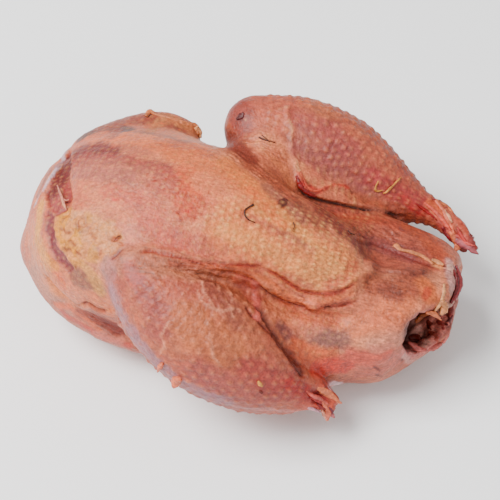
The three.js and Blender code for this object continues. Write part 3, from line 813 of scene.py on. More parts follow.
VENT_STRIPS = (
    (((450, 264), (452, 278), (450, 292), (445, 304), (440, 314)), (1.2, 2.4, 3.0, 2.6, 0.8),
     0.8, (204, 170, 158), (447, 285)),
    (((444, 284), (443, 296), (439, 305), (435, 311)), (0.5, 1.0, 1.2, 0.4), 0.7, (214, 170, 132),
     (442, 290)),
    (((442, 300), (444, 308), (441, 315)), (1.0, 1.8, 0.6), 1.2, (214, 162, 120), (443, 298)),
    (((426, 313), (432, 313), (437, 316), (441, 320)), (0.6, 1.0, 0.8, 0.2), 0.6, (214, 146, 108),
     (430, 308)),
    (((416, 323), (422, 317), (430, 313), (436, 310)), (0.8, 1.3, 0.9, 0.2), 0.6, (208, 142, 104),
     (420, 318)),
    (((456, 266), (459, 274), (460, 283), (458, 292), (454, 300)), (0.5, 1.0, 1.2, 1.1, 0.5),
     1.0, (140, 80, 82), (452, 280)),
    (((454, 270), (457, 280), (456, 290), (451, 303)), (0.5, 0.8, 1.0, 0.5), 1.2, (110, 52, 54),
     (450, 282)),
    (((452, 300), (451, 310), (449, 318)), (0.8, 1.4, 0.8), 1.2, (150, 84, 78), (448, 308)),
    (((452, 316), (449, 321), (446, 326)), (0.5, 1.1, 0.6), 1.0, (104, 46, 48), (446, 318)),
    (((447, 322), (447, 333), (442, 343)), (0.8, 1.5, 0.9), 1.2, (226, 152, 142), (443, 340)),
    (((420, 346), (431, 348), (441, 344)), (0.8, 1.4, 0.8), 1.1, (206, 134, 126), (432, 352)),
    (((408, 342), (416, 348), (426, 350)), (0.6, 1.2, 0.6), 1.0, (190, 116, 108), (414, 352)),
)

WING_STRIPS = (
    (((146, 116), (150, 112), (157, 115), (171, 119), (185, 124), (195, 127), (199, 135)),
     (0.8, 1.1, 0.8, 0.9, 1.3, 1.3, 0.5), 0.6, (198, 140, 102), (178, 128)),
    (((196, 127), (199, 131), (201, 138)), (0.9, 1.2, 0.4), 0.6, (224, 176, 134), (190, 134)),
)

DROPS = (
    (((181, 378), (177, 381), (174, 386)), (0.8, 2.1, 1.2), 1.5, (228, 146, 110), (181, 376)),
    (((163, 363), (160, 367), (158, 371)), (0.7, 1.1, 0.4), 0.9, (228, 146, 110), (164, 362)),
)


# Sinew and scraps that lie on the skin: pixels, lift, half widths, half thickness and colour.

SCRAPS = (
    (((428, 321), (431, 326), (432, 332)), 0.6, (0.8, 1.6, 0.64), 1.0, (132, 66, 52)),
    (((430, 334), (434, 338), (438, 340)), 0.6, (1.0, 2.0, 0.8), 1.2, (170, 100, 86)),
    (((409, 340), (415, 338), (421, 340)), 0.6, (0.9, 1.8, 0.72), 1.0, (118, 62, 54)),
    (((438, 322), (442, 325), (444, 331)), 0.6, (0.65, 1.3, 0.52), 0.8, (176, 98, 92)),
    (((58, 186), (61, 194), (64, 202), (67, 210)), 0.4, (0.3, 0.5, 0.4, 0.2), 0.4, (220, 162, 144)),
    (((62, 198), (66, 201), (70, 200)), 0.4, (0.2, 0.35, 0.2), 0.3, (214, 156, 138)),
    (((395, 245), (401, 250), (412, 253), (424, 258), (433, 265)), 0.5, (1.1, 1.0, 0.7, 0.9, 0.5),
     0.45, (212, 152, 112)),
    (((431, 261), (437, 263), (443, 267)), 0.8, (0.7, 1.3, 0.5), 0.7, (218, 166, 126)),
    (((378, 181), (375, 188), (377, 191), (382, 190)), 0.6, (0.35, 0.45, 0.45, 0.2), 0.35, (216, 166, 88)),
    (((400, 178), (394, 184), (387, 191), (383, 193)), 0.7, (0.3, 0.45, 0.5, 0.2), 0.35, (216, 166, 88)),
    (((444, 211), (448, 217), (452, 223)), 0.5, (0.5, 0.8, 0.4), 0.6, (238, 186, 156)),
    (((258, 381), (260, 384), (262, 386)), 0.3, (0.4, 0.8, 0.4), 0.5, (222, 176, 104)),
    (((260, 391), (262, 393)), 0.2, (0.7, 0.5), 0.4, (96, 48, 38)),
    (((237, 119), (241, 116), (244, 113)), 0.1, (0.7, 1.4, 0.5), 0.35, (88, 36, 36)),
    (((278, 206), (282, 204), (287, 200)), 0.0, (0.8, 1.9, 0.8), 0.4, (92, 42, 40)),
    (((434, 200), (441, 208), (448, 220), (455, 234)), 0.3, (0.5, 0.9, 0.8, 0.4), 0.6, (232, 148, 118)),
    (((424, 203), (434, 211), (444, 222), (452, 232)), 0.3, (0.4, 0.9, 0.9, 0.3), 0.6, (220, 126, 108)),
    (((415, 203), (426, 211), (437, 220)), 0.2, (0.3, 0.8, 0.3), 0.5, (156, 54, 52)),
    (((296, 176), (301, 186), (309, 194), (316, 197)), 0.5, (0.5, 1.2, 1.0, 0.3), 0.8, (132, 44, 40)),
    (((300, 172), (305, 184), (313, 191), (322, 190)), 0.5, (0.3, 0.7, 0.7, 0.3), 0.6, (196, 108, 84)),
)

# Feather stubs and hairs: pixels and half width.
QUILLS = (
    (((253, 205), (248, 208), (244, 212), (247, 219), (255, 223)), 0.42),
    (((259, 138), (266, 141), (275, 143)), 0.36),
    (((262, 136), (267, 140), (269, 143)), 0.25),
    (((293, 223), (294, 227), (292, 231)), 0.24),
    (((347, 231), (350, 234), (354, 235)), 0.24),
    (((121, 236), (117, 238), (114, 242)), 0.2),
)


# Relief and paint.

# Stretches in mm over which a look comes or goes, up from the floor or along the bird.
SEAT = (0.0, 1.5)
GREY_BELOW = (4, 34)
BUMPS_ABOVE = (30, 48)
FIBROUS_FROM = (0, 40)
WARM_UNTIL = (10, 50)
BUMPS_UNTIL = (46, 58)
RIM_FROM = (70, 78)
WALL_FROM = (70, 80)
CUT_FACE_FROM = (89.5, 91.5)

# Sizes in mm: the skin's uneven warp, and how far from its line a crack cuts, is painted dark and spreads
# its painted shade.
WARP = 1.6
CUT_REACH = 0.55
STAIN_AND_SHADE_REACH = 0.75
SHADE_REACH = 2.4

# How much of the warp ridges and cracks follow, 0 to 1, and how fibrous plain skin is.
RIDGE_BEND = 0.25
CRACK_BEND = 0.3
PLAIN_FIBRE = 0.3


class Skin:
    """The skin's points, the way out at each, and the colour and texture put on it."""

    def __init__(self):
        points, quads = net(sampled())
        self.base, self.out = settle(points)
        self.quads = quads
        self.seen = Seen(self.base, quads)
        self.screen = self.seen.pixels(self.base)
        self.facing = step_up(self.out @ self.seen.back, 0.02, 0.25)
        self.height = np.zeros(len(points))
        self.colour = np.tile(from_screen(PEACH), (len(points), 1))
        self.fibre = np.full(len(points), PLAIN_FIBRE)
        warp = [rough_noise(self.base, 7, seed=90 + 5 * n) for n in range(3)]
        self.warped = self.base + WARP * np.stack(warp, 1)
        self.ragged = [rough_noise(self.base, 3.2, seed=11 + 5 * n) for n in range(4)]
        self.regions()

    def regions(self):
        p = self.base.astype(np.float32)
        self.near_leg = step_down(limb(p, NEAR_DRUM), 0.5, 4.0)
        self.far_leg = step_down(limb(p, FAR_DRUM), 0.5, 4.0)
        self.wings = step_down(np.minimum(limb(p, NEAR_WING), limb(p, FAR_WING)), 0.5, 4.0)
        self.inner = step_down(hollow(p), 0.4, 1.8)

    def uneven(self, pixels):
        return self.ragged[int(pixels[0][0] + pixels[0][1]) % len(self.ragged)]

    def near(self, pixels, radius, ragged=0.35):
        """1 within the radius of a line on the skin, fading to 0, with an uneven edge."""
        d = line_distance(self.warped, self.seen.line(pixels)) / radius
        return step_down(d + ragged * self.uneven(pixels), 0.55, 1.25)

    def patch(self, outline, soft=1.5, ragged=2.0):
        """1 inside an outline in the photograph, on the skin that it shows."""
        d = outline_distance(self.screen, outline) + ragged * self.uneven(outline)
        return self.facing * step_down(d, -soft, soft)

    def mix(self, colour, amount):
        a = np.clip(amount, 0, 1)[:, None]
        self.colour = self.colour * (1 - a) + colour * a

    def tint(self, colour, amount):
        """Paints with a colour of the photograph."""
        self.mix(from_screen(colour), amount)

    def tone(self, factors, amount):
        """Multiplies the colour that is there."""
        self.mix(self.colour * np.array(factors), amount)

    def dabs(self, rows):
        for colour, amount, radius, pixels in rows:
            self.tint(colour, amount * self.near(pixels, radius))

    def ridge(self, pixels, height, width):
        bent = self.base + RIDGE_BEND * (self.warped - self.base)
        self.height += fold(bent, self.seen.line(pixels), height, width)

    def across(self, points, pixels, steps):
        """Where points lie beside a smooth line of pixels, as beside_line says."""
        line = smooth_line(self.seen.line(pixels), steps).astype(float)
        return beside_line(points, self.out, line)

    def crack(self, pixels, depth, lip, width, colour, amount):
        """A sharp crack: cut down on the line, with a soft lip of skin on the left of it. The line is
        painted dark, partly its own colour and partly painted shade, with a wider painted shade on its
        right.
        """
        bent = self.base + CRACK_BEND * (self.warped - self.base)
        across, passed = self.across(bent, pixels, 3)
        fade = faded_ends(passed, 0.12)
        cut = np.exp(-(across / CUT_REACH) ** 2)
        over = np.exp(-((across + width) / width) ** 2) * step_up(-across, -0.2, 0.6)
        self.height += fade * (lip * over - depth * cut)
        # The crack's line painted dark: its own colour deepened with painted shade.
        self.tint(colour, amount * fade * np.exp(-(across / STAIN_AND_SHADE_REACH) ** 2))
        # Painted shade falling beside the crack, on the right of its lip.
        shade = 0.35 * amount * min(depth ** 2, 1) * fade * np.exp(-(across / SHADE_REACH) ** 2)
        self.tint(colour, shade * step_up(across, -0.8, 0.6))

    def pleats(self, rows):
        """Small wrinkles that run along lines of stretched skin, with painted shade in their troughs."""
        for pixels, reach, spacing, height, seed in rows:
            across, passed = self.across(self.warped, pixels, 2)
            fade = faded_ends(passed, 0.15) * step_down(np.abs(across), 0.3 * reach, reach)
            wave = np.cos(2 * math.pi * (across / spacing + 0.9 * noise(self.base, 9, seed)))
            broken = step_up(noise(self.base, 5, seed + 1), -0.4, 0.4)
            self.height += height * wave * fade * broken
            # Painted shade: the troughs of the wrinkles darkened.
            self.tone(0.72, 0.55 * fade * broken * step_up(-wave, 0.1, 0.9))
            self.fibre = np.maximum(self.fibre, fade)


# Spacing of the rows of goose bumps in mm, and the height that the body's rows turn round.
LEG_PITCH = 3.9
BODY_PITCH = 3.0
MIDDLE_HEIGHT = 35


def leg_pattern(skin, form, columns, pitch):
    """Place of each point on a leg as rows along it and columns round it."""
    line = smooth_line(form, 6)[:, :3].astype(float)
    cuts = np.linalg.norm(np.diff(line, axis=0), axis=1)
    along = np.concatenate([[0], np.cumsum(cuts)])
    away, span, part = nearest_on(skin.base, line)
    s = along[span] + part * cuts[span]
    axis = line[-1] - line[0]
    axis /= np.linalg.norm(axis)
    side = np.cross(axis, (0, 0, 1.0))
    side /= np.linalg.norm(side)
    angle = np.arctan2(away @ side, away @ np.cross(side, axis))
    return s / pitch, angle / (2 * math.pi) * columns, columns


def body_pattern(skin, columns, pitch):
    """The same on the body, as rows along it and columns round its middle line."""
    angle = np.arctan2(skin.base[:, 1], skin.base[:, 2] - MIDDLE_HEIGHT)
    return skin.base[:, 0] / pitch, angle / (2 * math.pi) * columns, columns


def bumps(u, v, columns, seed):
    """Distance to the nearest goose bump, in rows, and the bump's own value. Rows are staggered."""
    best = np.full(len(u), FAR)
    own = np.zeros(len(u))
    for du, dv in np.ndindex(3, 3):
        row = np.floor(u).astype(np.int64) + du - 1
        shift = 0.5 * (row & 1)
        cell = np.floor(v - shift).astype(np.int64) + dv - 1
        turn = np.mod(cell, columns)
        a = row + 0.5 + 0.3 * (scattered(row, turn, 0 * row, seed) - 0.5)
        b = cell + 0.5 + shift + 0.3 * (scattered(row, turn, 0 * row + 1, seed) - 0.5)
        d = np.hypot(u - a, (v - b) * 1.1)
        closer = d < best
        best = np.where(closer, d, best)
        own = np.where(closer, scattered(row, turn, 0 * row + 2, seed), own)
    return best, own


def goose_bumps(skin, where, pattern, colour, amount, height, seed):
    d, own = bumps(*pattern, seed)
    dome = np.exp(-(d / 0.28) ** 2) * (0.45 + 0.75 * own) * where
    skin.height += height * dome
    skin.tint(colour, amount * dome)
    # Painted shade: a darker ring in the dips round each bump.
    skin.tone(0.8, 0.4 * where * np.exp(-((d - 0.5) / 0.14) ** 2))


def hollow_shade_mask(skin):
    """How far each point lies in a hollow of the skin: 0 on a full form, 1 in a deep fold. It masks the
    painted shade that darkens hollows and folds.
    """
    reach = 7.0
    return step_up(1 - field(skin.base + reach * skin.out) / reach, 0.12, 0.75)


def paint_base(skin):
    p = skin.base
    patch = rough_noise(p, 26, seed=3)
    skin.tint(ROSY, 0.55 * step_up(patch, -0.1, 0.5))
    skin.tint(PALE_PEACH, 0.5 * step_up(-patch, -0.1, 0.5))
    skin.tint(MAUVE, 0.5 * step_up(rough_noise(p, 17, seed=8), 0.1, 0.6))
    skin.tint(GREY, 0.3 * step_down(p[:, 2], *GREY_BELOW))
    leg = np.maximum(skin.near_leg, skin.far_leg)
    skin.tint(LEG_TAN, 0.9 * leg)
    skin.tint(MAUVE, 0.6 * leg * step_up(rough_noise(p, 14, seed=21), -0.05, 0.5))
    skin.tint(TAN, 0.5 * leg * step_up(rough_noise(p, 16, seed=27), 0.0, 0.5))
    skin.tint((176, 122, 108), 0.7 * skin.wings)


def scab(skin, outline, ragged, colour, height):
    crust = skin.patch(outline, 1.0, ragged)
    skin.tint(colour, 0.95 * crust)
    skin.height += height * crust


def paint_breast(skin):
    skin.dabs(BREAST_DABS)
    speckle, own = cell_distance(skin.base, 2.4, seed=41)
    red = skin.near(RED_SPOTS, 9)
    skin.tint(BRICK, 0.85 * red * step_down(speckle, 0.2, 0.5) * step_up(own, 0.35, 0.6))
    skin.tint(CREAM, 0.5 * red * step_down(speckle, 0.2, 0.4) * step_up(-own, -0.2, 0))
    warm = step_down(skin.base[:, 0], *WARM_UNTIL) * (1 - skin.near_leg) * (1 - skin.far_leg)
    skin.tone((1.04, 0.94, 0.84), warm)
    scab(skin, BREAST_SCAB, 1.0, (86, 38, 38), 0.5)


def crumbly_fat(skin):
    """Yellow fat in grains and lumps, with fissures between some of them."""
    fat = skin.patch(CRUMBLY_FAT, 3.0, 4.0)
    skin.tint((220, 166, 112), 0.85 * fat)
    skin.tint((222, 166, 66), 0.95 * fat * skin.near(YELLOW_FAT, 7.5))
    grain, own = cell_distance(skin.base, 2.3, seed=43)
    skin.height += 1.1 * fat * (0.55 - grain) + 0.5 * fat * (own - 0.5)
    fissured = step_up(rough_noise(skin.base, 8, seed=49), -0.15, 0.3)
    skin.tint((132, 84, 50), 0.8 * fat * step_up(grain, 0.55, 0.8) * fissured)
    lump, own = cell_distance(skin.base, 4.6, seed=47)
    skin.height += 1.3 * fat * (0.55 - lump) * (0.4 + own)
    skin.tint((226, 172, 132), 0.5 * fat * step_up(own, 0.5, 0.7))
    skin.tint((210, 164, 78), 0.5 * fat * step_up(-own, -0.3, -0.1))


def bare_muscle(skin):
    """Muscle and membrane where the skin is torn off, a little deeper than the skin."""
    muscle = skin.patch(NECK_MUSCLE, 1.2, 1.5)
    skin.tint((156, 84, 80), muscle)
    # Painted shade along the muscle's upper part, over its own dark red.
    skin.tint((104, 40, 42), muscle * skin.near(MUSCLE_SHADE_BAND, 6))
    skin.height -= 1.3 * muscle
    strip = skin.patch(NECK_STRIP, 1.4, 2.0)
    skin.tint((126, 70, 76), strip)
    skin.height -= 1.0 * strip


def paint_neck(skin):
    skin.dabs(NECK_DABS)
    crumbly_fat(skin)
    bare_muscle(skin)
    skin.dabs(NECK_EDGE_DABS)
    skin.ridge(SINEW, 0.8, 0.8)
    skin.ridge(NECK_EDGE, 0.7, 1.0)


def paint_wings(skin):
    skin.dabs(WING_DABS)
    skin.crack(*WING_CRACK)
    skin.pleats(WING_PLEATS)
    skin.dabs(WING_SPOTS)


def paint_legs(skin):
    skin.dabs(LEG_DABS)
    skin.tint((178, 118, 92), 0.85 * skin.patch(WEB_SHADE, 5, 5))
    skin.dabs(WEB_DABS)
    skin.ridge(KNEE_EDGE, 0.7, 1.3)
    skin.ridge(RED_SEAM, 0.9, 1.1)
    skin.height -= 2.4 * skin.near(HOCK_NOTCH, 2.6, 0.1)
    scab(skin, KNEE_SCAB, 1.2, (90, 38, 38), 0.0)
    skin.dabs(SCAB_EDGE_DABS)
    skin.pleats(LEG_PLEATS)


def paint_belly(skin):
    skin.dabs(BELLY_DABS)
    skin.tint((162, 100, 84), 0.9 * skin.patch(BELLY_SHADE, 5, 5))
    skin.dabs(SHADED_DABS)
    skin.pleats(BELLY_PLEATS)


def vent_wall(skin, lumps, own):
    """The hollow painted near black as painted shade, and the lumpy wall at its mouth painted pale as
    painted light where the hollow's shadow falls on it.
    """
    p = skin.base
    wall = skin.inner * step_up(p[:, 0], *WALL_FROM)
    # Painted shade: the whole hollow painted near black.
    skin.tint(HOLLOW_SHADE, 0.96 * skin.inner)
    # Painted light: the wall and its lumps painted paler to stand in for the light that the hollow's
    # shadow keeps off.
    skin.tint((236, 168, 156), 0.95 * wall)
    skin.tint((250, 206, 192), 0.8 * wall * step_up(own, 0.55, 0.75))
    skin.tint((120, 50, 46), 0.7 * wall * step_up(lumps, 0.5, 0.8))
    skin.height += skin.inner * (2.2 * (0.6 - lumps) + 0.8 * rough_noise(p, 6, seed=35))


def vent_rim(skin, lumps):
    """The cut flesh round the hollow's mouth."""
    p = skin.base
    torn = rough_noise(p, 4.0, seed=33)
    face = step_up(p[:, 0], *CUT_FACE_FROM) * (1 - skin.far_leg) * (1 - skin.inner)
    skin.tint((146, 80, 78), 0.9 * face)
    skin.tint((206, 160, 150), 0.7 * face * step_up(torn, 0.1, 0.5))
    skin.height += face * (1.6 * torn + 0.8 * (0.5 - lumps))
    rim = step_down(np.abs(hollow(p.astype(np.float32))), 1.0, 5.0) * step_up(p[:, 0], *RIM_FROM)
    skin.height += rim * 1.3 * rough_noise(p, 5.0, seed=37)
    skin.tint((176, 104, 96), 0.7 * rim * step_up(-torn, -0.1, 0.3) * (1 - skin.inner))


def paint_vent(skin):
    lumps, own = cell_distance(skin.base, 4.5, seed=31)
    vent_wall(skin, lumps, own)
    vent_rim(skin, lumps)
    kept = skin.colour.copy()
    skin.dabs(VENT_DABS)
    skin.colour = np.where(skin.inner[:, None] > 0.5, kept, skin.colour)
    spots, own = cell_distance(skin.base, 2.2, seed=39)
    spotted = skin.near(MEMBRANE_LINE, 4.0) * step_down(spots, 0.2, 0.5) * step_up(own, 0.5, 0.7)
    skin.tint((128, 64, 62), 0.7 * spotted)
    skin.ridge(VENT_RIM, 0.9, 1.4)


def folds(skin):
    for row in CRACKS:
        skin.crack(*row)
    for pixels, depth, amount in FISSURES:
        skin.crack(pixels, depth, 0.0, 0.8, CRACK_SHADE_DARK, amount)
    skin.ridge(RED_FOLD, 0.9, 1.6)
    skin.height -= 1.5 * skin.near(LEG_SHADE, 3.0, 0.1)
    for line in CURLY_WRINKLES:
        skin.ridge(line, 0.4, 0.6)
        skin.dabs([((220, 164, 138), 0.6, 0.6, line)])
    skin.dabs(FOLD_DABS)
    skin.pleats(FOLD_PLEATS)


def shanks(skin):
    """Bare torn ends of both legs, from a place along each: uneven ridges and no goose bumps."""
    for form, first, seed in ((NEAR_DRUM, 78, 55), (FAR_DRUM, 92, 58)):
        row, column, _ = leg_pattern(skin, form, columns=8, pitch=1.0)
        near = step_down(limb(skin.base, form), 1.5, 4.0)
        bare = near * step_up(row, first, first + 12)
        grain = np.stack([row / 9.0, column * 1.3, 0 * row], 1)
        streak = noise(grain, 1.0, seed) + 0.6 * noise(grain * 2.1, 1.0, seed + 1)
        skin.height += 1.0 * bare * streak
        skin.tint((206, 112, 86), 0.6 * bare * step_up(streak, 0.0, 0.6))
        skin.tint((132, 44, 44), 0.7 * bare * step_up(-streak, 0.2, 0.8))
        skin.near_leg = skin.near_leg * (1 - bare)
        skin.far_leg = skin.far_leg * (1 - bare)


def all_bumps(skin):
    """Goose bumps on both legs and on the open skin of the body, most on the breast's tip."""
    near_rows = leg_pattern(skin, NEAR_DRUM, columns=34, pitch=LEG_PITCH)
    far_rows = leg_pattern(skin, FAR_DRUM, columns=30, pitch=LEG_PITCH)
    goose_bumps(skin, skin.near_leg, near_rows, BUMP_TAN, 0.5, height=0.62, seed=61)
    goose_bumps(skin, skin.far_leg, far_rows, BUMP_TAN, 0.6, height=0.65, seed=62)
    x, z = skin.base[:, 0], skin.base[:, 2]
    open_skin = np.clip(1 - skin.near_leg - skin.far_leg - skin.inner, 0, 1) * step_up(z, *BUMPS_ABOVE)
    tip = skin.patch(BREAST_TIP, 10, 6)
    plain = open_skin * (0.35 + 0.65 * tip) * step_down(x, *BUMPS_UNTIL)
    plain = plain * (1 - skin.patch(WEB_SHADE, 4, 3)) * (1 - skin.patch(CRUMBLY_FAT, 3, 3))
    body_rows = body_pattern(skin, columns=92, pitch=BODY_PITCH)
    goose_bumps(skin, plain, body_rows, BUMP_CREAM, 0.75, height=0.45, seed=63)


def mottling(skin):
    mottle = rough_noise(skin.base, 8, seed=95) + 0.6 * rough_noise(skin.base, 3, seed=97, layers=2)
    skin.tone((0.84, 0.74, 0.8), 0.7 * step_up(mottle, 0.0, 0.8))
    skin.tone((1.12, 1.1, 0.98), 0.7 * step_up(-mottle, 0.0, 0.8))
    skin.tone(0.9, 0.6 * skin.near_leg)


def dress(skin):
    p = skin.base
    skin.height += 0.4 * rough_noise(p, 9, seed=51) + 0.16 * rough_noise(p, 3.4, seed=52, layers=2)
    skin.fibre += 0.5 * (1 - np.maximum(skin.near_leg, skin.far_leg)) * step_up(p[:, 0], *FIBROUS_FROM)
    for step in (paint_base, paint_breast, paint_neck, paint_wings, paint_legs, paint_belly, shanks,
                 all_bumps, mottling, folds):
        step(skin)
    # Painted shade: hollows and folds darkened and reddened, as shade falls in them.
    skin.tone((0.6, 0.47, 0.45), 0.6 * hollow_shade_mask(skin))
    paint_vent(skin)


# Making the pieces.

def painted(name, points, faces, colours, fibre):
    """A smooth piece from points in mm and their colours, set in the shared frame, in metres."""
    mesh = bpy.data.meshes.new(name)
    mesh.from_pydata(((points + SHIFT) * MM).tolist(), [], faces)
    mesh.polygons.foreach_set("use_smooth", np.ones(len(mesh.polygons), bool))
    paint = mesh.color_attributes.new("paint", "FLOAT_COLOR", "POINT")
    rgba = np.clip(np.column_stack([colours, fibre]), 0, 1)
    paint.data.foreach_set("color", rgba.astype(np.float32).ravel())
    piece = bpy.data.objects.new(name, mesh)
    bpy.context.scene.collection.objects.link(piece)
    return piece


def body_piece(skin, name):
    """The painted skin, with its relief, and flat where it rests on the floor."""
    resting = step_down(skin.base[:, 2], *SEAT)
    points = skin.base + skin.out * (skin.height * (1 - resting))[:, None]
    points[:, 2] = np.maximum(points[:, 2], 0)
    return painted(name, points, skin.quads.tolist(), skin.colour, skin.fibre)


STRIP_SIDES = 10
STRIP_FIBRE = 0.6
JUST_ABOVE_FLOOR = 0.2


class Bits:
    """Torn strips, hairs and drops: small closed shapes, gathered in one mesh."""

    def __init__(self, seen):
        self.seen = seen
        self.points = []
        self.faces = []
        self.colours = []

    def strip(self, places, ups, wide, thick, colour, seed):
        """A closed strip through the places, its flat side facing up, of those half widths."""
        rows = [(*p, *u, w, thick) for p, u, w in zip(places, ups, wide)]
        rows = smooth_line(rows, 6).astype(float)
        path, up = rows[:, :3], rows[:, 3:6]
        run = np.gradient(path, axis=0)
        side = np.cross(run, up)
        side /= np.linalg.norm(side, axis=1, keepdims=True)
        up = np.cross(side, run)
        up /= np.linalg.norm(up, axis=1, keepdims=True)
        angle = 2 * math.pi * np.arange(STRIP_SIDES) / STRIP_SIDES
        across = np.maximum(rows[:, 6], 0.1)[:, None] * np.cos(angle)
        over = np.maximum(rows[:, 7], 0.1)[:, None] * np.sin(angle)
        ring = (across[:, :, None] * side[:, None] + over[:, :, None] * up[:, None]).reshape(-1, 3)
        centres = np.repeat(path, STRIP_SIDES, 0)
        uneven = np.maximum(1 + 0.55 * rough_noise(centres + ring, 2.4, seed), 0.35)
        points = centres + ring * uneven[:, None]
        start = sum(len(p) for p in self.points)
        last = start + STRIP_SIDES * (len(path) - 1)
        for n in range(start, last, STRIP_SIDES):
            for k in range(STRIP_SIDES):
                j = (k + 1) % STRIP_SIDES
                self.faces.append((n + k, n + j, n + STRIP_SIDES + j, n + STRIP_SIDES + k))
        self.faces.append(tuple(range(start + STRIP_SIDES - 1, start - 1, -1)))
        self.faces.append(tuple(range(last, last + STRIP_SIDES)))
        shade = 1 + 0.45 * rough_noise(points, 1.5, seed + 1)
        self.points.append(points)
        self.colours.append(shade[:, None] * from_screen(colour))

    def lying(self, pixels, lift, wide, thick, colour):
        """A strip that lies on the skin, raised by the lift."""
        spots = [self.seen.surface(q) for q in pixels]
        places = [p + lift * out for p, out in spots]
        self.strip(places, [out for _, out in spots], wide, thick, colour, pixels[0][0])

    def hanging(self, pixels, wide, thick, colour, anchor):
        """A strip at a torn edge, which starts from the skin at the anchor and keeps close to it."""
        places = []
        root = self.seen.point(anchor)
        for pixel in pixels:
            root = self.seen.beside(pixel, root)
            places.append(root)
        self.strip(places, [self.seen.back] * len(places), wide, thick, colour, pixels[0][0])

    def piece(self, name):
        points = np.vstack(self.points)
        points[:, 2] = np.maximum(points[:, 2], JUST_ABOVE_FLOOR)
        fibre = np.full(len(points), STRIP_FIBRE)
        return painted(name, points, self.faces, np.vstack(self.colours), fibre)


def torn_skin(seen):
    """Torn ends at both hocks, round the vent and on the far wing, with sinew, scraps and drops."""
    bits = Bits(seen)
    for strips, hock in ((NEAR_HOCK_STRIPS, NEAR_HOCK), (FAR_HOCK_STRIPS, FAR_HOCK)):
        for row in strips:
            bits.hanging(*row, hock)
    for row in VENT_STRIPS + WING_STRIPS:
        bits.hanging(*row)
    for row in SCRAPS:
        bits.lying(*row)
    for row in DROPS:
        bits.hanging(*row)
    return bits


def quills(seen):
    """The few feather stubs and hairs left in the skin, each thinner to its tip."""
    bits = Bits(seen)
    for pixels, wide in QUILLS:
        taper = wide * np.linspace(1.0, 0.45, len(pixels))
        bits.lying(pixels, 0.5, taper, wide, HAIR)
    return bits


# Materials.

def put(node, **inputs):
    """Sets a node's inputs, with an underscore for each space in their names."""
    for key, value in inputs.items():
        node.inputs[key.replace("_", " ")].default_value = value


class Nodes:
    """Adds nodes to a material and links them."""

    def __init__(self, name):
        self.material = bpy.data.materials.new(name)
        self.material.use_nodes = True
        self.tree = self.material.node_tree
        self.shader = self.tree.nodes["Principled BSDF"]

    def link(self, source, target):
        self.tree.links.new(source, target)

    def add(self, kind, source=None, **inputs):
        node = self.tree.nodes.new("ShaderNode" + kind)
        put(node, **inputs)
        if source is not None:
            self.link(source, node.inputs[0])
        return node

    def noise(self, place, **inputs):
        return self.add("TexNoise", place, **inputs).outputs["Fac"]

    def ranged(self, source, low, high, to_low, to_high):
        ends = {"From_Min": low, "From_Max": high, "To_Min": to_low, "To_Max": to_high}
        return self.add("MapRange", source, **ends).outputs["Result"]

    def maths(self, operation, *sources):
        node = self.add("Math")
        node.operation = operation
        for source, socket in zip(sources, node.inputs):
            if isinstance(source, float):
                socket.default_value = source
            else:
                self.link(source, socket)
        return node.outputs["Value"]

    def multiplied(self, colour, factor):
        node = self.add("Mix")
        node.data_type = "RGBA"
        node.blend_type = "MULTIPLY"
        amount, a, b = (node.inputs[n] for n in (0, 6, 7))
        amount.default_value = 1.0
        self.link(colour, a)
        self.link(factor, b)
        return node.outputs[2]


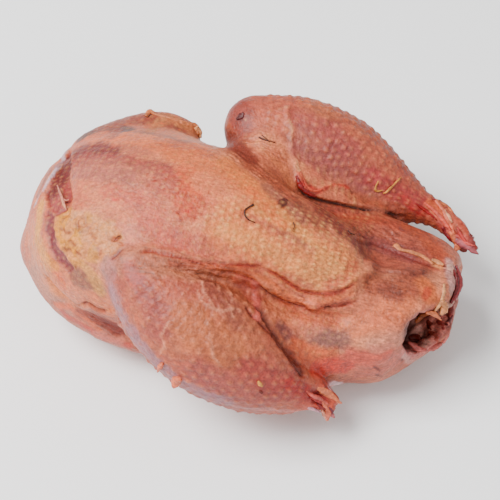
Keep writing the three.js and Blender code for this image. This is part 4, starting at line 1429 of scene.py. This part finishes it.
def skin_material():
    """Moist raw skin: the painted colour, specks and fibres over it, light under the surface."""
    t = Nodes("raw_skin")
    place = t.add("TexCoord").outputs["Object"]
    paint = t.add("VertexColor")
    paint.layer_name = "paint"
    colour, fibrous = paint.outputs["Color"], paint.outputs["Alpha"]
    fine = t.noise(place, Scale=950.0, Detail=3.0, Roughness=0.65)
    broad = t.noise(place, Scale=240.0, Detail=4.0, Roughness=0.7)
    pores = t.add("TexVoronoi", place, Scale=620.0).outputs["Distance"]
    lie = (0.0, math.radians(12), math.radians(-6))
    along = t.add("Mapping", place, Rotation=lie, Scale=(0.16, 1.0, 1.0)).outputs["Vector"]
    fibres = t.noise(along, Scale=900.0, Detail=2.5, Roughness=0.6, Distortion=0.6)

    streaks = t.add("Mix", fibrous, A=1.0)
    t.link(t.ranged(fibres, 0.34, 0.62, 0.62, 1.15), streaks.inputs["B"])
    mottle = t.maths("MULTIPLY", t.ranged(broad, 0.3, 0.7, 0.78, 1.2),
                     t.ranged(fine, 0.32, 0.68, 0.72, 1.26))
    tone = t.maths("MULTIPLY", mottle, streaks.outputs["Result"])
    t.link(t.multiplied(colour, tone), t.shader.inputs["Base Color"])
    t.link(t.ranged(broad, 0.3, 0.7, 0.38, 0.6), t.shader.inputs["Roughness"])

    relief = t.maths("MULTIPLY_ADD", fibres, fibrous, fine)
    bump = t.add("Bump", Strength=0.75, Distance=0.0005)
    t.link(t.maths("MULTIPLY_ADD", pores, 0.5, relief), bump.inputs["Height"])
    t.link(bump.outputs["Normal"], t.shader.inputs["Normal"])
    put(t.shader, Subsurface_Weight=0.08, Subsurface_Radius=(1.0, 0.35, 0.2), Subsurface_Scale=0.0015,
        Specular_IOR_Level=0.34, Coat_Weight=0.06, Coat_Roughness=0.22)
    return t.material


# Floor, light and camera.

LIT_POINT = Vector((0, 0, 0.04))


def floor():
    bpy.ops.mesh.primitive_plane_add(size=6, location=(0, 0, -0.0003))
    plane = bpy.context.object
    plane.name = "floor"
    t = Nodes("pale_floor")
    put(t.shader, Base_Color=(0.9, 0.9, 0.9, 1), Roughness=0.9)
    plane.data.materials.append(t.material)


def lamp(name, at, size, energy):
    data = bpy.data.lights.new(name, "AREA")
    data.size = size
    data.energy = energy
    source = bpy.data.objects.new(name, data)
    bpy.context.scene.collection.objects.link(source)
    source.location = at
    source.rotation_euler = (LIT_POINT - Vector(at)).to_track_quat("-Z", "Y").to_euler()


def light():
    world = bpy.data.worlds.new("studio")
    bpy.context.scene.world = world
    world.use_nodes = True
    put(world.node_tree.nodes["Background"], Color=(1, 1, 1, 1), Strength=0.68)
    lamp("key", (-0.75, -0.35, 1.25), size=0.9, energy=50)
    lamp("fill", (1.0, -1.1, 0.9), size=1.2, energy=8)


def camera():
    data = bpy.data.cameras.new("camera")
    data.lens = CAMERA_LENS
    data.sensor_width = SENSOR
    data.sensor_fit = "HORIZONTAL"
    data.clip_start = 0.01
    eye = bpy.data.objects.new("camera", data)
    bpy.context.scene.collection.objects.link(eye)
    back = camera_axes()[2]
    eye.location = Vector((CAMERA_AIM + SHIFT + back * CAMERA_DISTANCE) * MM)
    eye.rotation_euler = Vector(back).to_track_quat("Z", "Y").to_euler()
    bpy.context.scene.camera = eye


skin = Skin()
dress(skin)
bird = body_piece(skin, "pheasant_skin")
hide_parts(NODE)
torn = torn_skin(skin.seen)
raw_skin = skin_material()
for piece in (bird, torn.piece("torn_skin"), quills(skin.seen).piece("quills")):
    piece.data.materials.append(raw_skin)
    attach(piece, BODY)
floor()
light()
camera()


def plain(box):
    return [[float(v) for v in corner] for corner in box]
